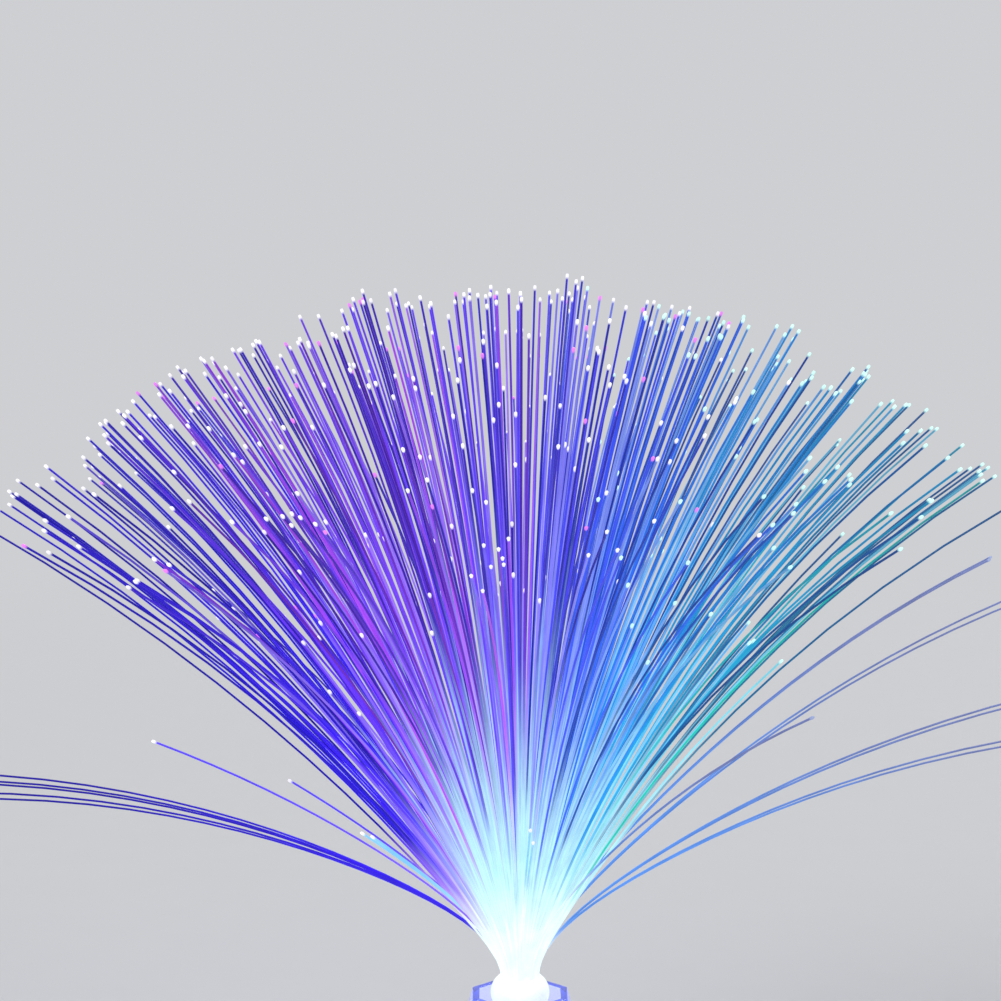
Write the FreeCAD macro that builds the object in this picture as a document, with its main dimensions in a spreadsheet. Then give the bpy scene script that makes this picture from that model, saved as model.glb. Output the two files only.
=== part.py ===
import FreeCAD, Part
import math
import os

import Sketcher
from FreeCAD import Placement, Rotation, Vector

# Battery table lamp with a spray of light-guide fibres.
#
# An eight-sided moulded foot holds three cells, a circuit board with three light-emitting diodes and a
# slide switch. A socket tube rises from the board through the deck of the foot, inside a faceted clear
# crown. The fibre head plugs into that tube: a glued bundle in a sleeve with a ball-shaped collar, and
# the fibres that fan out above it. Origin: centre of the foot on the table plane, +Z up, switch at +Y.
# Millimetres and degrees.

doc = FreeCAD.newDocument("fibre_lamp")

# ---------------------------------------------------------------- driving dimensions

DIMENSIONS = {
    # foot: distances across are from the axis to the flats
    "body_apothem": 44.0,
    "deck_height": 46.5,
    "shoulder_run": 13.0,
    "brow_bevel": 2.5,
    "hem_bevel": 1.0,
    "shell_wall": 2.0,
    "plate_thickness": 3.2,
    "plate_clearance": 0.2,
    "nib_width": 8.0,
    "nib_reach": 1.2,
    # how far a cut runs past the face it opens, and a joined feature into its neighbour
    "overcut": 1.0,
    # rubber ring that the lamp stands on
    "ring_height": 2.0,
    "ring_width": 5.4,
    "ring_inset": 0.4,
    # battery bay and its door
    "cell_diameter": 10.5,
    "cell_length": 44.5,
    "cell_nub_radius": 1.9,
    "cell_nub_height": 0.8,
    "cell_gap": 1.0,
    "cell_play": 0.4,
    "bay_wall": 1.5,
    "contact_thickness": 0.4,
    "contact_height": 8.4,
    "contact_width": 8.6,
    "spring_depth": 3.6,
    "spring_width": 4.6,
    "spring_crest": 1.0,
    "tail_width": 2.0,
    "tail_clearance": 0.3,
    "door_thickness": 1.6,
    "door_ledge": 1.5,
    "door_gap": 0.3,
    "hinge_setback": 2.2,
    "hinge_width": 16.0,
    "hinge_pin_radius": 0.8,
    "hinge_pin_bite": 3.0,
    "hinge_clearance": 0.05,
    "latch_width": 10.0,
    "latch_length": 7.0,
    "grip_rib": 0.5,
    "grip_inset": 1.0,
    "scoop_length": 4.2,
    # circuit board
    "rib_height": 3.0,
    "rib_thickness": 1.5,
    "rib_length": 8.0,
    "board_thickness": 1.6,
    "board_apothem": 29.0,
    "led_size": 5.0,
    "led_height": 1.6,
    "led_ring_radius": 4.0,
    # controller on the board: eight leads in two rows
    "chip_x": -17.0,
    "chip_y": -4.0,
    "chip_length": 4.9,
    "chip_width": 3.9,
    "chip_height": 1.5,
    "chip_standoff": 0.1,
    "lead_pitch": 1.27,
    "lead_width": 0.4,
    "lead_height": 0.5,
    "lead_reach": 0.8,
    "lead_bite": 0.2,
    # slide switch
    "switch_length": 8.6,
    "switch_depth": 4.4,
    "switch_height": 4.7,
    "switch_slot_depth": 2.64,
    "switch_travel": 2.0,
    "stem_size": 1.5,
    "stem_bite": 0.5,
    "thumb_length": 7.0,
    "thumb_height": 4.0,
    "thumb_thickness": 1.6,
    "ridge_height": 0.4,
    "ridge_bite": 0.1,
    "slide_clearance": 0.25,
    # two screws that close the foot
    "boss_radius": 3.6,
    "boss_bite": 0.36,
    "boss_length": 14.0,
    "screw_radius": 1.25,
    "screw_head_radius": 2.3,
    "screw_head_height": 1.6,
    "screw_grip": 7.0,
    # socket tube and clear crown
    "tube_wall": 1.5,
    "tube_shoulder": 1.6,
    "crown_waist_apothem": 27.0,
    "crown_foot_bevel": 4.0,
    "crown_waist_band": 2.0,
    "crown_mouth_apothem": 16.0,
    "crown_wall": 2.3,
    "crown_drop": 6.0,
    # fibre head
    "head_height": 100.0,
    "bundle_radius": 6.6,
    "bundle_gap": 3.4,
    "sleeve_wall": 1.0,
    "plug_clearance": 0.1,
    "glue_gap": 0.05,
    "bead_radius": 10.0,
    "bead_lip": 0.4,
    "bead_crest_drop": 5.6,
    "potting_depth": 3.0,
    # fibres: the rise is the straight run above the collar
    "fibre_radius": 0.375,
    "fibre_length": 236.0,
    "fibre_rise": 0.3,
    "fibre_count": 78,
    "fibre_spread": 65.0,
    # how much steeper the spray stands at +X than at -X, as a share of each fibre's tilt
    "fibre_bias": 0.05,
    # share of the tilt that comes in the bend above the collar, and the length that the bend takes
    "bend_length": 8.0,
    "bend_share": 0.4,
    "stray_bend_length": 12.0,
    "stray_bend_share": 0.6,
    "stray_ring_inset": 0.5,
    "stray_gap": 0.94,
}

dims = doc.addObject("Spreadsheet::Sheet", "Dims")
for row, (alias, size) in enumerate(DIMENSIONS.items(), start=1):
    dims.set(f"A{row}", str(size))
    dims.setAlias(f"A{row}", alias)
doc.recompute()

# ---------------------------------------------------------------- heights and radii that follow from them

FOLLOWING = {
    # heights from the table, from the rubber ring up to the top of the collar
    "door_top": "Dims.ring_height + Dims.door_thickness",
    "plate_top": "Dims.ring_height + Dims.plate_thickness",
    "hinge_z": "Dims.ring_height + Dims.plate_thickness / 2",
    "cell_z": "Fit.door_top + Dims.cell_play + Dims.cell_diameter / 2",
    "bay_ceiling": "Fit.cell_z + Dims.cell_diameter / 2 + Dims.cell_play",
    "bay_roof": "Fit.bay_ceiling + Dims.bay_wall",
    "board_bottom": "Fit.bay_roof + Dims.rib_height",
    "board_top": "Fit.board_bottom + Dims.board_thickness",
    "bundle_face": "Fit.board_top + Dims.led_height + Dims.bundle_gap",
    "skirt_top": "Fit.board_top + Dims.switch_height + Dims.brow_bevel + Dims.slide_clearance",
    "deck_bottom": "Dims.deck_height - Dims.shell_wall",
    "crown_mouth": "Dims.head_height - Dims.crown_drop",
    "bead_crest": "Dims.head_height - Dims.bead_crest_drop",
    "potting_top": "Dims.head_height - Dims.potting_depth",
    "fibre_start": "Dims.potting_depth + Dims.fibre_rise",
    # distances from the axis
    "inner_apothem": "Dims.body_apothem - Dims.shell_wall",
    "plate_apothem": "Fit.inner_apothem - Dims.plate_clearance",
    "ring_apothem": "Fit.plate_apothem - Dims.ring_inset",
    "boss_ring": "Fit.inner_apothem - Dims.boss_radius + Dims.boss_bite",
    "bundle_bore": "Dims.bundle_radius + Dims.glue_gap",
    "sleeve_radius": "Fit.bundle_bore + Dims.sleeve_wall",
    "tube_bore": "Fit.sleeve_radius + Dims.plug_clearance",
    "tube_radius": "Fit.tube_bore + Dims.tube_wall",
    "tube_hole": "Fit.tube_radius + Dims.plug_clearance",
    # the collar's side follows one arc from its seat on the tube over its crest to its rim
    "bead_rim": "Fit.bundle_bore + Dims.bead_lip",
    "bead_bulge": "Dims.bead_radius - Fit.bead_rim",
    "bead_arc": "(Dims.bead_crest_drop ^ 2 + Fit.bead_bulge ^ 2) / (2 * Fit.bead_bulge)",
    "bead_ring": "Dims.bead_radius - Fit.bead_arc",
    "bead_low_angle": "-acos((Fit.tube_radius - Fit.bead_ring) / Fit.bead_arc)",
    "bead_high_angle": "asin(Dims.bead_crest_drop / Fit.bead_arc)",
    "tube_top": "Fit.bead_crest + Fit.bead_arc * sin(Fit.bead_low_angle)",
    # battery bay: cells lie along X, side by side in Y
    "cell_pitch": "Dims.cell_diameter + Dims.cell_gap",
    "bay_half_length": "Dims.cell_length / 2 + Dims.contact_thickness + Dims.spring_depth / 2",
    "bay_half_width": "Fit.cell_pitch + Dims.cell_diameter / 2 + Dims.cell_play",
    "door_half_length": "Fit.bay_half_length + Dims.door_ledge",
    "door_half_width": "Fit.bay_half_width + Dims.door_ledge",
    "hinge_x": "-Fit.door_half_length - Dims.hinge_setback",
    "knuckle_radius": "Dims.plate_thickness / 2 - 2 * Dims.hinge_clearance",
    # how near to the hinge's axis the door's inner edge comes before it has swung clear of the cover
    "hinge_swing": "sqrt(Dims.hinge_setback ^ 2 + (Fit.hinge_z - Fit.door_top) ^ 2"
    " - (Dims.plate_thickness / 2) ^ 2)",
    # slide switch, behind the skirt at +Y
    "switch_front": "Fit.inner_apothem - 2 * Dims.slide_clearance",
    "stem_z": "Fit.board_top + Dims.switch_height / 2",
    "thumb_back": "Dims.body_apothem + Dims.slide_clearance",
}

fit = doc.addObject("App::VarSet", "Fit")
for name in FOLLOWING:
    fit.addProperty("App::PropertyFloat", name, "Following")
for name, rule in FOLLOWING.items():
    fit.setExpression(name, rule)
doc.recompute()


SIDES = 8
HALF_SIDE = 180 / SIDES


def value(rule):
    """What a rule in the sheet's names comes to now, as a plain number."""
    return float(fit.evalExpression(str(rule)))


# ---------------------------------------------------------------- sketches bound to the sheet


def sketch_on(body, plane, name, offset=None):
    """A sketch on one of the body's origin planes, moved along the plane's normal by the rule in offset."""
    sketch = body.newObject("Sketcher::SketchObject", name)
    origin_plane = next(o for o in body.Origin.OriginFeatures if o.Role == plane)
    sketch.AttachmentSupport = [(origin_plane, "")]
    sketch.MapMode = "FlatFace"
    if offset is not None:
        sketch.setExpression("AttachmentOffset.Base.z", offset)
    doc.recompute()
    return sketch


def bind(sketch, kind, geometry, point, rule):
    """One size constraint from the sketch's origin, held to a rule."""
    size = value(rule)
    where = {"DistanceX": -2, "DistanceY": -1}
    if kind in where and str(rule) == "0":
        sketch.addConstraint(Sketcher.Constraint("PointOnObject", geometry, point, where[kind]))
        return
    if kind in where:
        constraint = Sketcher.Constraint(kind, -1, 1, geometry, point, size)
    else:
        constraint = Sketcher.Constraint(kind, geometry, size)
    index = sketch.addConstraint(constraint)
    sketch.setExpression(f"Constraints[{index}]", str(rule))


def outline(sketch, corners):
    """A closed outline of straight sides through corners, which are pairs of rules."""
    points = [Vector(value(x), value(y), 0) for x, y in corners]
    sides = []
    for side, start in enumerate(points):
        end = points[(side + 1) % len(points)]
        sides.append(sketch.addGeometry(Part.LineSegment(start, end)))
    for side, after in zip(sides, sides[1:] + sides[:1]):
        sketch.addConstraint(Sketcher.Constraint("Coincident", side, 2, after, 1))
    for side, (x, y) in zip(sides, corners):
        bind(sketch, "DistanceX", side, 1, x)
        bind(sketch, "DistanceY", side, 1, y)


def rectangle(sketch, low_x, high_x, low_y, high_y):
    outline(sketch, [(low_x, low_y), (high_x, low_y), (high_x, high_y), (low_x, high_y)])


def octagon(sketch, apothem):
    """A regular outline with flats that face the axes."""
    corner = f"(({apothem}) / cos({HALF_SIDE}))"
    turns = [HALF_SIDE * (2 * k + 1) for k in range(SIDES)]
    outline(sketch, [(f"{corner} * cos({turn})", f"{corner} * sin({turn})") for turn in turns])


def circle(sketch, x, y, radius):
    centre = Vector(value(x), value(y), 0)
    geometry = sketch.addGeometry(Part.Circle(centre, Vector(0, 0, 1), value(radius)))
    bind(sketch, "DistanceX", geometry, 3, x)
    bind(sketch, "DistanceY", geometry, 3, y)
    bind(sketch, "Radius", geometry, None, radius)


# ---------------------------------------------------------------- features


def new_body(label):
    body = doc.addObject("PartDesign::Body", label)
    body.Label = label
    return body


def turn(body, corners):
    """A full turn of a profile, given as radius and height, about the body's Z axis."""
    sketch = sketch_on(body, "XZ_Plane", f"{body.Name}_profile")
    outline(sketch, corners)
    feature = body.newObject("PartDesign::Revolution", f"{body.Name}_turn")
    feature.Profile = sketch
    feature.ReferenceAxis = (sketch, ["V_Axis"])
    feature.Angle = 360
    doc.recompute()
    return feature


def pad(body, sketch, length, midplane=False, reverse=False):
    feature = body.newObject("PartDesign::Pad", f"{sketch.Name}_pad")
    feature.Profile = sketch
    feature.Midplane = midplane
    feature.Reversed = reverse
    feature.setExpression("Length", str(length))
    doc.recompute()
    return feature


def pocket(body, sketch, length, midplane=False, reverse=False):
    """A cut, which has to take something away: one that points into thin air is an error in the model."""
    before = body.Shape.Volume
    feature = body.newObject("PartDesign::Pocket", f"{sketch.Name}_pocket")
    feature.Profile = sketch
    feature.Midplane = midplane
    feature.Reversed = reverse
    feature.setExpression("Length", str(length))
    doc.recompute()
    if body.Shape.Volume >= before:
        raise ValueError(f"{sketch.Name} cuts nothing")
    return feature


def level_names(shapes, kind, height):
    """Names of the edges or faces that lie level at a height."""
    level = value(height)
    flat = [all(abs(v.Z - level) < 1e-6 for v in shape.Vertexes) for shape in shapes]
    return [f"{kind}{number}" for number, lies in enumerate(flat, start=1) if lies]


def bevel(body, name, height, drop, run=None):
    """Slanted facets in place of a level rim: drop is measured along the side, run across the end.

    An uneven bevel comes first on its body, while the side's face still leads at every edge of the rim.
    """
    rim = (body.Tip, level_names(body.Shape.Edges, "Edge", height))
    feature = body.newObject("PartDesign::Chamfer", name)
    feature.Base = rim
    feature.setExpression("Size", str(drop))
    if run is not None:
        feature.ChamferType = "Two distances"
        feature.setExpression("Size2", str(run))
    doc.recompute()
    return feature


def hollow(body, name, wall, open_heights):
    """Leaves a wall of even thickness inside the faces, open at the level faces of open_heights."""
    openings = [level_names(body.Shape.Faces, "Face", height) for height in open_heights]
    solid = (body.Tip, sum(openings, []))
    feature = body.newObject("PartDesign::Thickness", name)
    feature.Base = solid
    feature.Reversed = True
    feature.Join = "Intersection"
    feature.setExpression("Value", wall)
    doc.recompute()
    return feature


def bound(kind, name, rules):
    """A Part primitive whose properties follow the sheet."""
    feature = doc.addObject(kind, name)
    for prop, rule in rules.items():
        feature.setExpression(prop, str(rule))
    return feature


def box(name, low, size):
    """A Part::Box from its lowest corner and its size, each three rules."""
    rules = dict(zip(("Placement.Base.x", "Placement.Base.y", "Placement.Base.z"), low))
    rules.update(zip(("Length", "Width", "Height"), size))
    return bound("Part::Box", name, rules)


def cylinder(name, x, y, low_z, radius, height):
    rules = {"Placement.Base.x": x, "Placement.Base.y": y, "Placement.Base.z": low_z}
    rules.update({"Radius": radius, "Height": height})
    return bound("Part::Cylinder", name, rules)


def joined(label, members):
    feature = doc.addObject("Part::MultiFuse", label)
    feature.Label = label
    feature.Shapes = members
    return feature


def cut(label, base, tool):
    feature = doc.addObject("Part::Cut", label)
    feature.Label = label
    feature.Base = base
    feature.Tool = tool
    return feature


def gathered(label, members):
    """Loose sub-parts that share one node and still follow the sheet."""
    feature = doc.addObject("Part::Compound", label)
    feature.Label = label
    feature.Links = members
    return feature


def group(label, shapes):
    """Loose solids that share one node."""
    feature = doc.addObject("Part::Feature", label)
    feature.Label = label
    feature.Shape = Part.makeCompound(shapes)
    return feature


def polar(radius, angle):
    """Rules for a point on a ring, with the angle in degrees."""
    return f"{radius} * cos({angle})", f"{radius} * sin({angle})"


SCREW_ANGLES = (45, 135)
NIB_SIDES = (1, -1)

# ---------------------------------------------------------------- foot


def make_upper_shell():
    """Eight-sided housing: upright skirt, sloping shoulder and flat deck over one even wall."""
    body = new_body("upper_shell")
    block = sketch_on(body, "XY_Plane", "shell_outline", "Dims.ring_height")
    octagon(block, "Dims.body_apothem")
    pad(body, block, "Dims.deck_height - Dims.ring_height")
    slope = "Dims.deck_height - Fit.skirt_top"
    bevel(body, "shell_shoulder", "Dims.deck_height", slope, "Dims.shoulder_run")
    bevel(body, "shell_brow", "Fit.skirt_top", "Dims.brow_bevel")
    bevel(body, "shell_hem", "Dims.ring_height", "Dims.hem_bevel")
    hollow(body, "shell_cavity", "Dims.shell_wall", ["Dims.ring_height"])
    # the hem's bevel is outside only: the cover slides in behind it
    mouth = sketch_on(body, "XY_Plane", "shell_mouth", "Fit.plate_top")
    octagon(mouth, "Fit.inner_apothem")
    pocket(body, mouth, "Dims.plate_thickness")
    hole = sketch_on(body, "XY_Plane", "shell_tube_hole", "Dims.deck_height")
    circle(hole, "0", "0", "Fit.tube_hole")
    pocket(body, hole, "2 * Dims.shell_wall")
    bosses = sketch_on(body, "XY_Plane", "shell_bosses", "Fit.plate_top")
    for angle in SCREW_ANGLES:
        circle(bosses, *polar("Fit.boss_ring", angle), "Dims.boss_radius")
    pad(body, bosses, "Dims.boss_length")
    pilots = sketch_on(body, "XY_Plane", "shell_pilot_holes", "Fit.plate_top")
    for angle in SCREW_ANGLES:
        circle(pilots, *polar("Fit.boss_ring", angle), "Dims.screw_radius")
    pocket(body, pilots, "Dims.screw_grip + Dims.overcut", reverse=True)
    slot = sketch_on(body, "XZ_Plane", "shell_switch_slot")
    half_slot = "(Dims.stem_size + Dims.switch_travel) / 2 + Dims.slide_clearance"
    half_height = "Dims.stem_size / 2 + Dims.slide_clearance"
    low, high = f"Fit.stem_z - ({half_height})", f"Fit.stem_z + {half_height}"
    rectangle(slot, f"-({half_slot})", half_slot, low, high)
    pocket(body, slot, "Dims.body_apothem + Dims.overcut")
    catches = sketch_on(body, "XY_Plane", "shell_nib_catches", "Fit.plate_top")
    reach = "Fit.inner_apothem + Dims.nib_reach"
    half_nib = "Dims.nib_width / 2 + Dims.plate_clearance"
    for side in NIB_SIDES:
        middle = f"{side} * Dims.nib_width"
        low_x, high_x = f"{middle} - ({half_nib})", f"{middle} + ({half_nib})"
        rectangle(catches, low_x, high_x, f"-({reach})", "Dims.overcut - Fit.inner_apothem")
    pocket(body, catches, "Dims.plate_thickness / 2 + Dims.plate_clearance")
    return body


def make_bottom_cover():
    """Base plate with the moulded battery bay, door recess, hinge notch and ribs for the board."""
    body = new_body("bottom_cover")
    plate = sketch_on(body, "XY_Plane", "cover_plate", "Dims.ring_height")
    octagon(plate, "Fit.plate_apothem")
    pad(body, plate, "Dims.plate_thickness")
    nibs = sketch_on(body, "XY_Plane", "cover_nibs", "Fit.plate_top")
    for side in NIB_SIDES:
        low_x, high_x = (f"{side} * Dims.nib_width {sign} Dims.nib_width / 2" for sign in "-+")
        low_y, high_y = "-(Fit.plate_apothem + Dims.nib_reach)", "Dims.overcut - Fit.plate_apothem"
        rectangle(nibs, low_x, high_x, low_y, high_y)
    pad(body, nibs, "Dims.plate_thickness / 2", reverse=True)
    bay = sketch_on(body, "XY_Plane", "cover_bay", "Fit.plate_top")
    half_x = "Fit.bay_half_length + Dims.bay_wall"
    half_y = "Fit.bay_half_width + Dims.bay_wall"
    rectangle(bay, f"-({half_x})", half_x, f"-({half_y})", half_y)
    pad(body, bay, "Fit.bay_roof - Fit.plate_top")
    ribs = sketch_on(body, "XY_Plane", "cover_board_ribs", "Fit.bay_roof")
    for side in ("-", ""):
        near = f"{side}(Fit.bay_half_length - Dims.rib_length)"
        far = f"{side}Fit.bay_half_length"
        low_x, high_x = (far, near) if side else (near, far)
        rectangle(ribs, low_x, high_x, "-Dims.rib_thickness / 2", "Dims.rib_thickness / 2")
        near, far = f"{side}(Fit.bay_half_width - Dims.rib_length)", f"{side}Fit.bay_half_width"
        low_y, high_y = (far, near) if side else (near, far)
        rectangle(ribs, "-Dims.rib_thickness / 2", "Dims.rib_thickness / 2", low_y, high_y)
    pad(body, ribs, "Dims.rib_height")
    cavity = sketch_on(body, "XY_Plane", "cover_cell_bay", "Fit.bay_ceiling")
    half_x, half_y = "Fit.bay_half_length", "Fit.bay_half_width"
    rectangle(cavity, f"-{half_x}", half_x, f"-{half_y}", half_y)
    pocket(body, cavity, "Fit.bay_ceiling")
    recess = sketch_on(body, "XY_Plane", "cover_door_recess", "Fit.door_top")
    low_x = "Fit.hinge_x + Fit.hinge_swing - Dims.door_gap"
    high_x = "Fit.door_half_length + Dims.door_gap"
    half_y = "Fit.door_half_width + Dims.door_gap"
    rectangle(recess, low_x, high_x, f"-({half_y})", half_y)
    pocket(body, recess, "Fit.door_top")
    notch = sketch_on(body, "XY_Plane", "cover_hinge_notch", "Fit.plate_top")
    back = "Fit.hinge_x - Fit.knuckle_radius - Dims.door_gap"
    half_notch = "Dims.hinge_width / 2 + Dims.door_gap"
    rectangle(notch, back, "-Fit.door_half_length", f"-({half_notch})", half_notch)
    pocket(body, notch, "Dims.plate_thickness")
    bores = sketch_on(body, "XZ_Plane", "cover_hinge_bores")
    circle(bores, "Fit.hinge_x", "Fit.hinge_z", "Dims.hinge_pin_radius")
    pocket(body, bores, "Dims.hinge_width + 2 * Dims.hinge_pin_bite", midplane=True)
    scoop = sketch_on(body, "XY_Plane", "cover_finger_scoop", "Fit.door_top")
    half_scoop = "Dims.latch_width / 2 - Dims.grip_inset"
    reach = "Fit.door_half_length + Dims.scoop_length"
    rectangle(scoop, "Fit.door_half_length", reach, f"-({half_scoop})", half_scoop)
    pocket(body, scoop, "Dims.door_thickness")
    heads = sketch_on(body, "XY_Plane", "cover_screw_seats", "Dims.ring_height")
    for angle in SCREW_ANGLES:
        circle(heads, *polar("Fit.boss_ring", angle), "Dims.screw_head_radius + Dims.plate_clearance")
    pocket(body, heads, "Dims.screw_head_height", reverse=True)
    holes = sketch_on(body, "XY_Plane", "cover_screw_holes", "Fit.plate_top")
    for angle in SCREW_ANGLES:
        circle(holes, *polar("Fit.boss_ring", angle), "Dims.screw_radius + Dims.plate_clearance")
    pocket(body, holes, "Dims.plate_thickness")
    slots = sketch_on(body, "XY_Plane", "cover_tail_slots", "Fit.bay_roof")
    for side in (1, -1):
        tail_hole(slots, side)
    pocket(body, slots, "Dims.bay_wall")
    return body


def tail_hole(sketch, side):
    """The slot that a contact's solder tail passes through, at one end of the outer cell."""
    wall = f"{side} * (Fit.bay_half_length - Dims.contact_thickness / 2)"
    half_x = "Dims.contact_thickness / 2 + Dims.tail_clearance"
    middle = f"{side} * Fit.cell_pitch"
    half_y = "Dims.tail_width / 2 + Dims.tail_clearance"
    low_x, high_x = f"{wall} - ({half_x})", f"{wall} + ({half_x})"
    rectangle(sketch, low_x, high_x, f"{middle} - ({half_y})", f"{middle} + ({half_y})")


def make_battery_door():
    """Door plate with a hinge knuckle at -X and a sprung latch tongue with grip ribs at +X."""
    body = new_body("battery_door")
    plate = sketch_on(body, "XY_Plane", "door_plate", "Dims.ring_height")
    half_x, half_y = "Fit.door_half_length", "Fit.door_half_width"
    rectangle(plate, f"-{half_x}", half_x, f"-{half_y}", half_y)
    pad(body, plate, "Dims.door_thickness")
    arm = sketch_on(body, "XZ_Plane", "door_hinge_arm")
    rectangle(arm, "Fit.hinge_x", "Dims.overcut - Fit.door_half_length", "Dims.ring_height", "Fit.door_top")
    pad(body, arm, "Dims.hinge_width", midplane=True)
    knuckle = sketch_on(body, "XZ_Plane", "door_knuckle")
    circle(knuckle, "Fit.hinge_x", "Fit.hinge_z", "Fit.knuckle_radius")
    pad(body, knuckle, "Dims.hinge_width", midplane=True)
    bore = sketch_on(body, "XZ_Plane", "door_knuckle_bore")
    circle(bore, "Fit.hinge_x", "Fit.hinge_z", "Dims.hinge_pin_radius + Dims.hinge_clearance")
    pocket(body, bore, "2 * Dims.hinge_width", midplane=True)
    slits = sketch_on(body, "XY_Plane", "door_latch_slits", "Fit.door_top")
    root = "Fit.door_half_length - Dims.latch_length"
    for side in ("-", ""):
        near, far = f"{side}(Dims.latch_width / 2)", f"{side}(Dims.latch_width / 2 + 2 * Dims.door_gap)"
        low, high = (far, near) if side else (near, far)
        rectangle(slits, root, "Fit.door_half_length + Dims.overcut", low, high)
    pocket(body, slits, "Dims.door_thickness")
    ribs = sketch_on(body, "XY_Plane", "door_grip_ribs", "Dims.ring_height")
    half_rib = "Dims.latch_width / 2 - Dims.grip_inset"
    for step in (1, 3, 5):
        low = f"Fit.door_half_length - {step + 1} * Dims.latch_length / 8"
        high = f"Fit.door_half_length - {step} * Dims.latch_length / 8"
        rectangle(ribs, low, high, f"-({half_rib})", half_rib)
    pad(body, ribs, "Dims.grip_rib", reverse=True)
    return body


def make_hinge_pin():
    """Steel pin of the door, pressed into the cover at both ends."""
    pin = bound("Part::Cylinder", "door_hinge_pin", {
        "Radius": "Dims.hinge_pin_radius",
        "Height": "Dims.hinge_width + 2 * Dims.hinge_pin_bite",
        "Placement.Base.x": "Fit.hinge_x",
        "Placement.Base.y": "Dims.hinge_width / 2 + Dims.hinge_pin_bite",
        "Placement.Base.z": "Fit.hinge_z",
    })
    pin.Placement = Placement(pin.Placement.Base, Rotation(Vector(1, 0, 0), 90))
    return pin


def make_foot_ring():
    """Rubber ring stuck under the cover, over the screws and round the door."""
    body = new_body("foot_ring")
    blank = sketch_on(body, "XY_Plane", "ring_outline")
    octagon(blank, "Fit.ring_apothem")
    pad(body, blank, "Dims.ring_height")
    opening = sketch_on(body, "XY_Plane", "ring_opening", "Dims.ring_height")
    octagon(opening, "Fit.ring_apothem - Dims.ring_width")
    pocket(body, opening, "Dims.ring_height")
    return body


def make_housing_screws():
    """Two pan-head screws from below, through the cover into the shell's bosses."""
    screws = []
    seat = "Dims.ring_height + Dims.screw_head_height"
    for angle in SCREW_ANGLES:
        x, y = polar("Fit.boss_ring", angle)
        screw = new_body(f"housing_screw_{angle}")
        head = sketch_on(screw, "XY_Plane", f"screw_head_{angle}", seat)
        circle(head, x, y, "Dims.screw_head_radius")
        pad(screw, head, "Dims.screw_head_height", reverse=True)
        shank = sketch_on(screw, "XY_Plane", f"screw_shank_{angle}", seat)
        circle(shank, x, y, "Dims.screw_radius")
        pad(screw, shank, "Dims.plate_thickness - Dims.screw_head_height + Dims.screw_grip")
        screws.append(screw)
    return gathered("housing_screws", screws)


# ---------------------------------------------------------------- cells and their contacts


def make_cells():
    """Three cylindrical cells on their sides, each the other way round from its neighbour."""
    cells = []
    for number, row in enumerate((1, 0, -1), start=1):
        positive = -1 if row == 0 else 1
        body = new_body(f"battery_{number}")
        turn(body, [
            ("0", "0"),
            ("Dims.cell_diameter / 2", "0"),
            ("Dims.cell_diameter / 2", "Dims.cell_length - Dims.cell_nub_height"),
            ("Dims.cell_nub_radius", "Dims.cell_length - Dims.cell_nub_height"),
            ("Dims.cell_nub_radius", "Dims.cell_length"),
            ("0", "Dims.cell_length"),
        ])
        nub_x = positive * (fit.bay_half_length - dims.contact_thickness)
        start = Vector(nub_x - positive * dims.cell_length, row * fit.cell_pitch, fit.cell_z)
        body.Placement = Placement(start, Rotation(Vector(0, 1, 0), positive * 90))
        cells.append(body)
    return cells


def contact(label, end, rows, spring_row=None, tail_row=None):
    """A stamped contact at one end of the bay (end is 1 or -1), behind the cells of the given rows.

    A bowed leaf pushes on the cell of spring_row, and a solder tail rises at tail_row to the board.
    """
    body = new_body(label)
    wall = f"{end} * Fit.bay_half_length"
    face = f"{end} * (Fit.bay_half_length - Dims.contact_thickness)"
    low_x, high_x = (face, wall) if end > 0 else (wall, face)
    low_y = f"{min(rows)} * Fit.cell_pitch - Dims.contact_width / 2"
    high_y = f"{max(rows)} * Fit.cell_pitch + Dims.contact_width / 2"
    plate = sketch_on(body, "XY_Plane", f"{label}_plate", "Fit.cell_z - Dims.contact_height / 2")
    rectangle(plate, low_x, high_x, low_y, high_y)
    pad(body, plate, "Dims.contact_height")
    if spring_row is not None:
        leaf = sketch_on(body, "XZ_Plane", f"{label}_leaf", f"{-spring_row} * Fit.cell_pitch")
        crest = f"{end} * (Fit.bay_half_length - Dims.contact_thickness - Dims.spring_depth)"
        inner = f"{end} * (Fit.bay_half_length - Dims.spring_depth)"
        foot = "Dims.contact_height / 2"
        thick = "2 * Dims.contact_thickness"
        outline(leaf, [
            (face, f"Fit.cell_z - {foot}"),
            (crest, "Fit.cell_z - Dims.spring_crest / 2"),
            (crest, "Fit.cell_z + Dims.spring_crest / 2"),
            (face, f"Fit.cell_z + {foot}"),
            (face, f"Fit.cell_z + {foot} - {thick}"),
            (inner, "Fit.cell_z"),
            (face, f"Fit.cell_z - {foot} + {thick}"),
        ])
        pad(body, leaf, "Dims.spring_width", midplane=True)
    if tail_row is not None:
        tail = sketch_on(body, "XY_Plane", f"{label}_tail", "Fit.cell_z")
        middle = f"{tail_row} * Fit.cell_pitch"
        low_y, high_y = f"{middle} - Dims.tail_width / 2", f"{middle} + Dims.tail_width / 2"
        rectangle(tail, low_x, high_x, low_y, high_y)
        pad(body, tail, "Fit.board_top + 2 * Dims.contact_thickness - Fit.cell_z")
    return body


def make_contacts():
    """Two single contacts with tails to the board, and two bridges that put the cells in series."""
    return [
        contact("contact_positive", 1, (1,), tail_row=1),
        contact("contact_negative", -1, (-1,), spring_row=-1, tail_row=-1),
        contact("contact_bridge_left", -1, (1, 0), spring_row=1),
        contact("contact_bridge_right", 1, (0, -1), spring_row=0),
    ]


# ---------------------------------------------------------------- circuit board and switch


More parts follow.
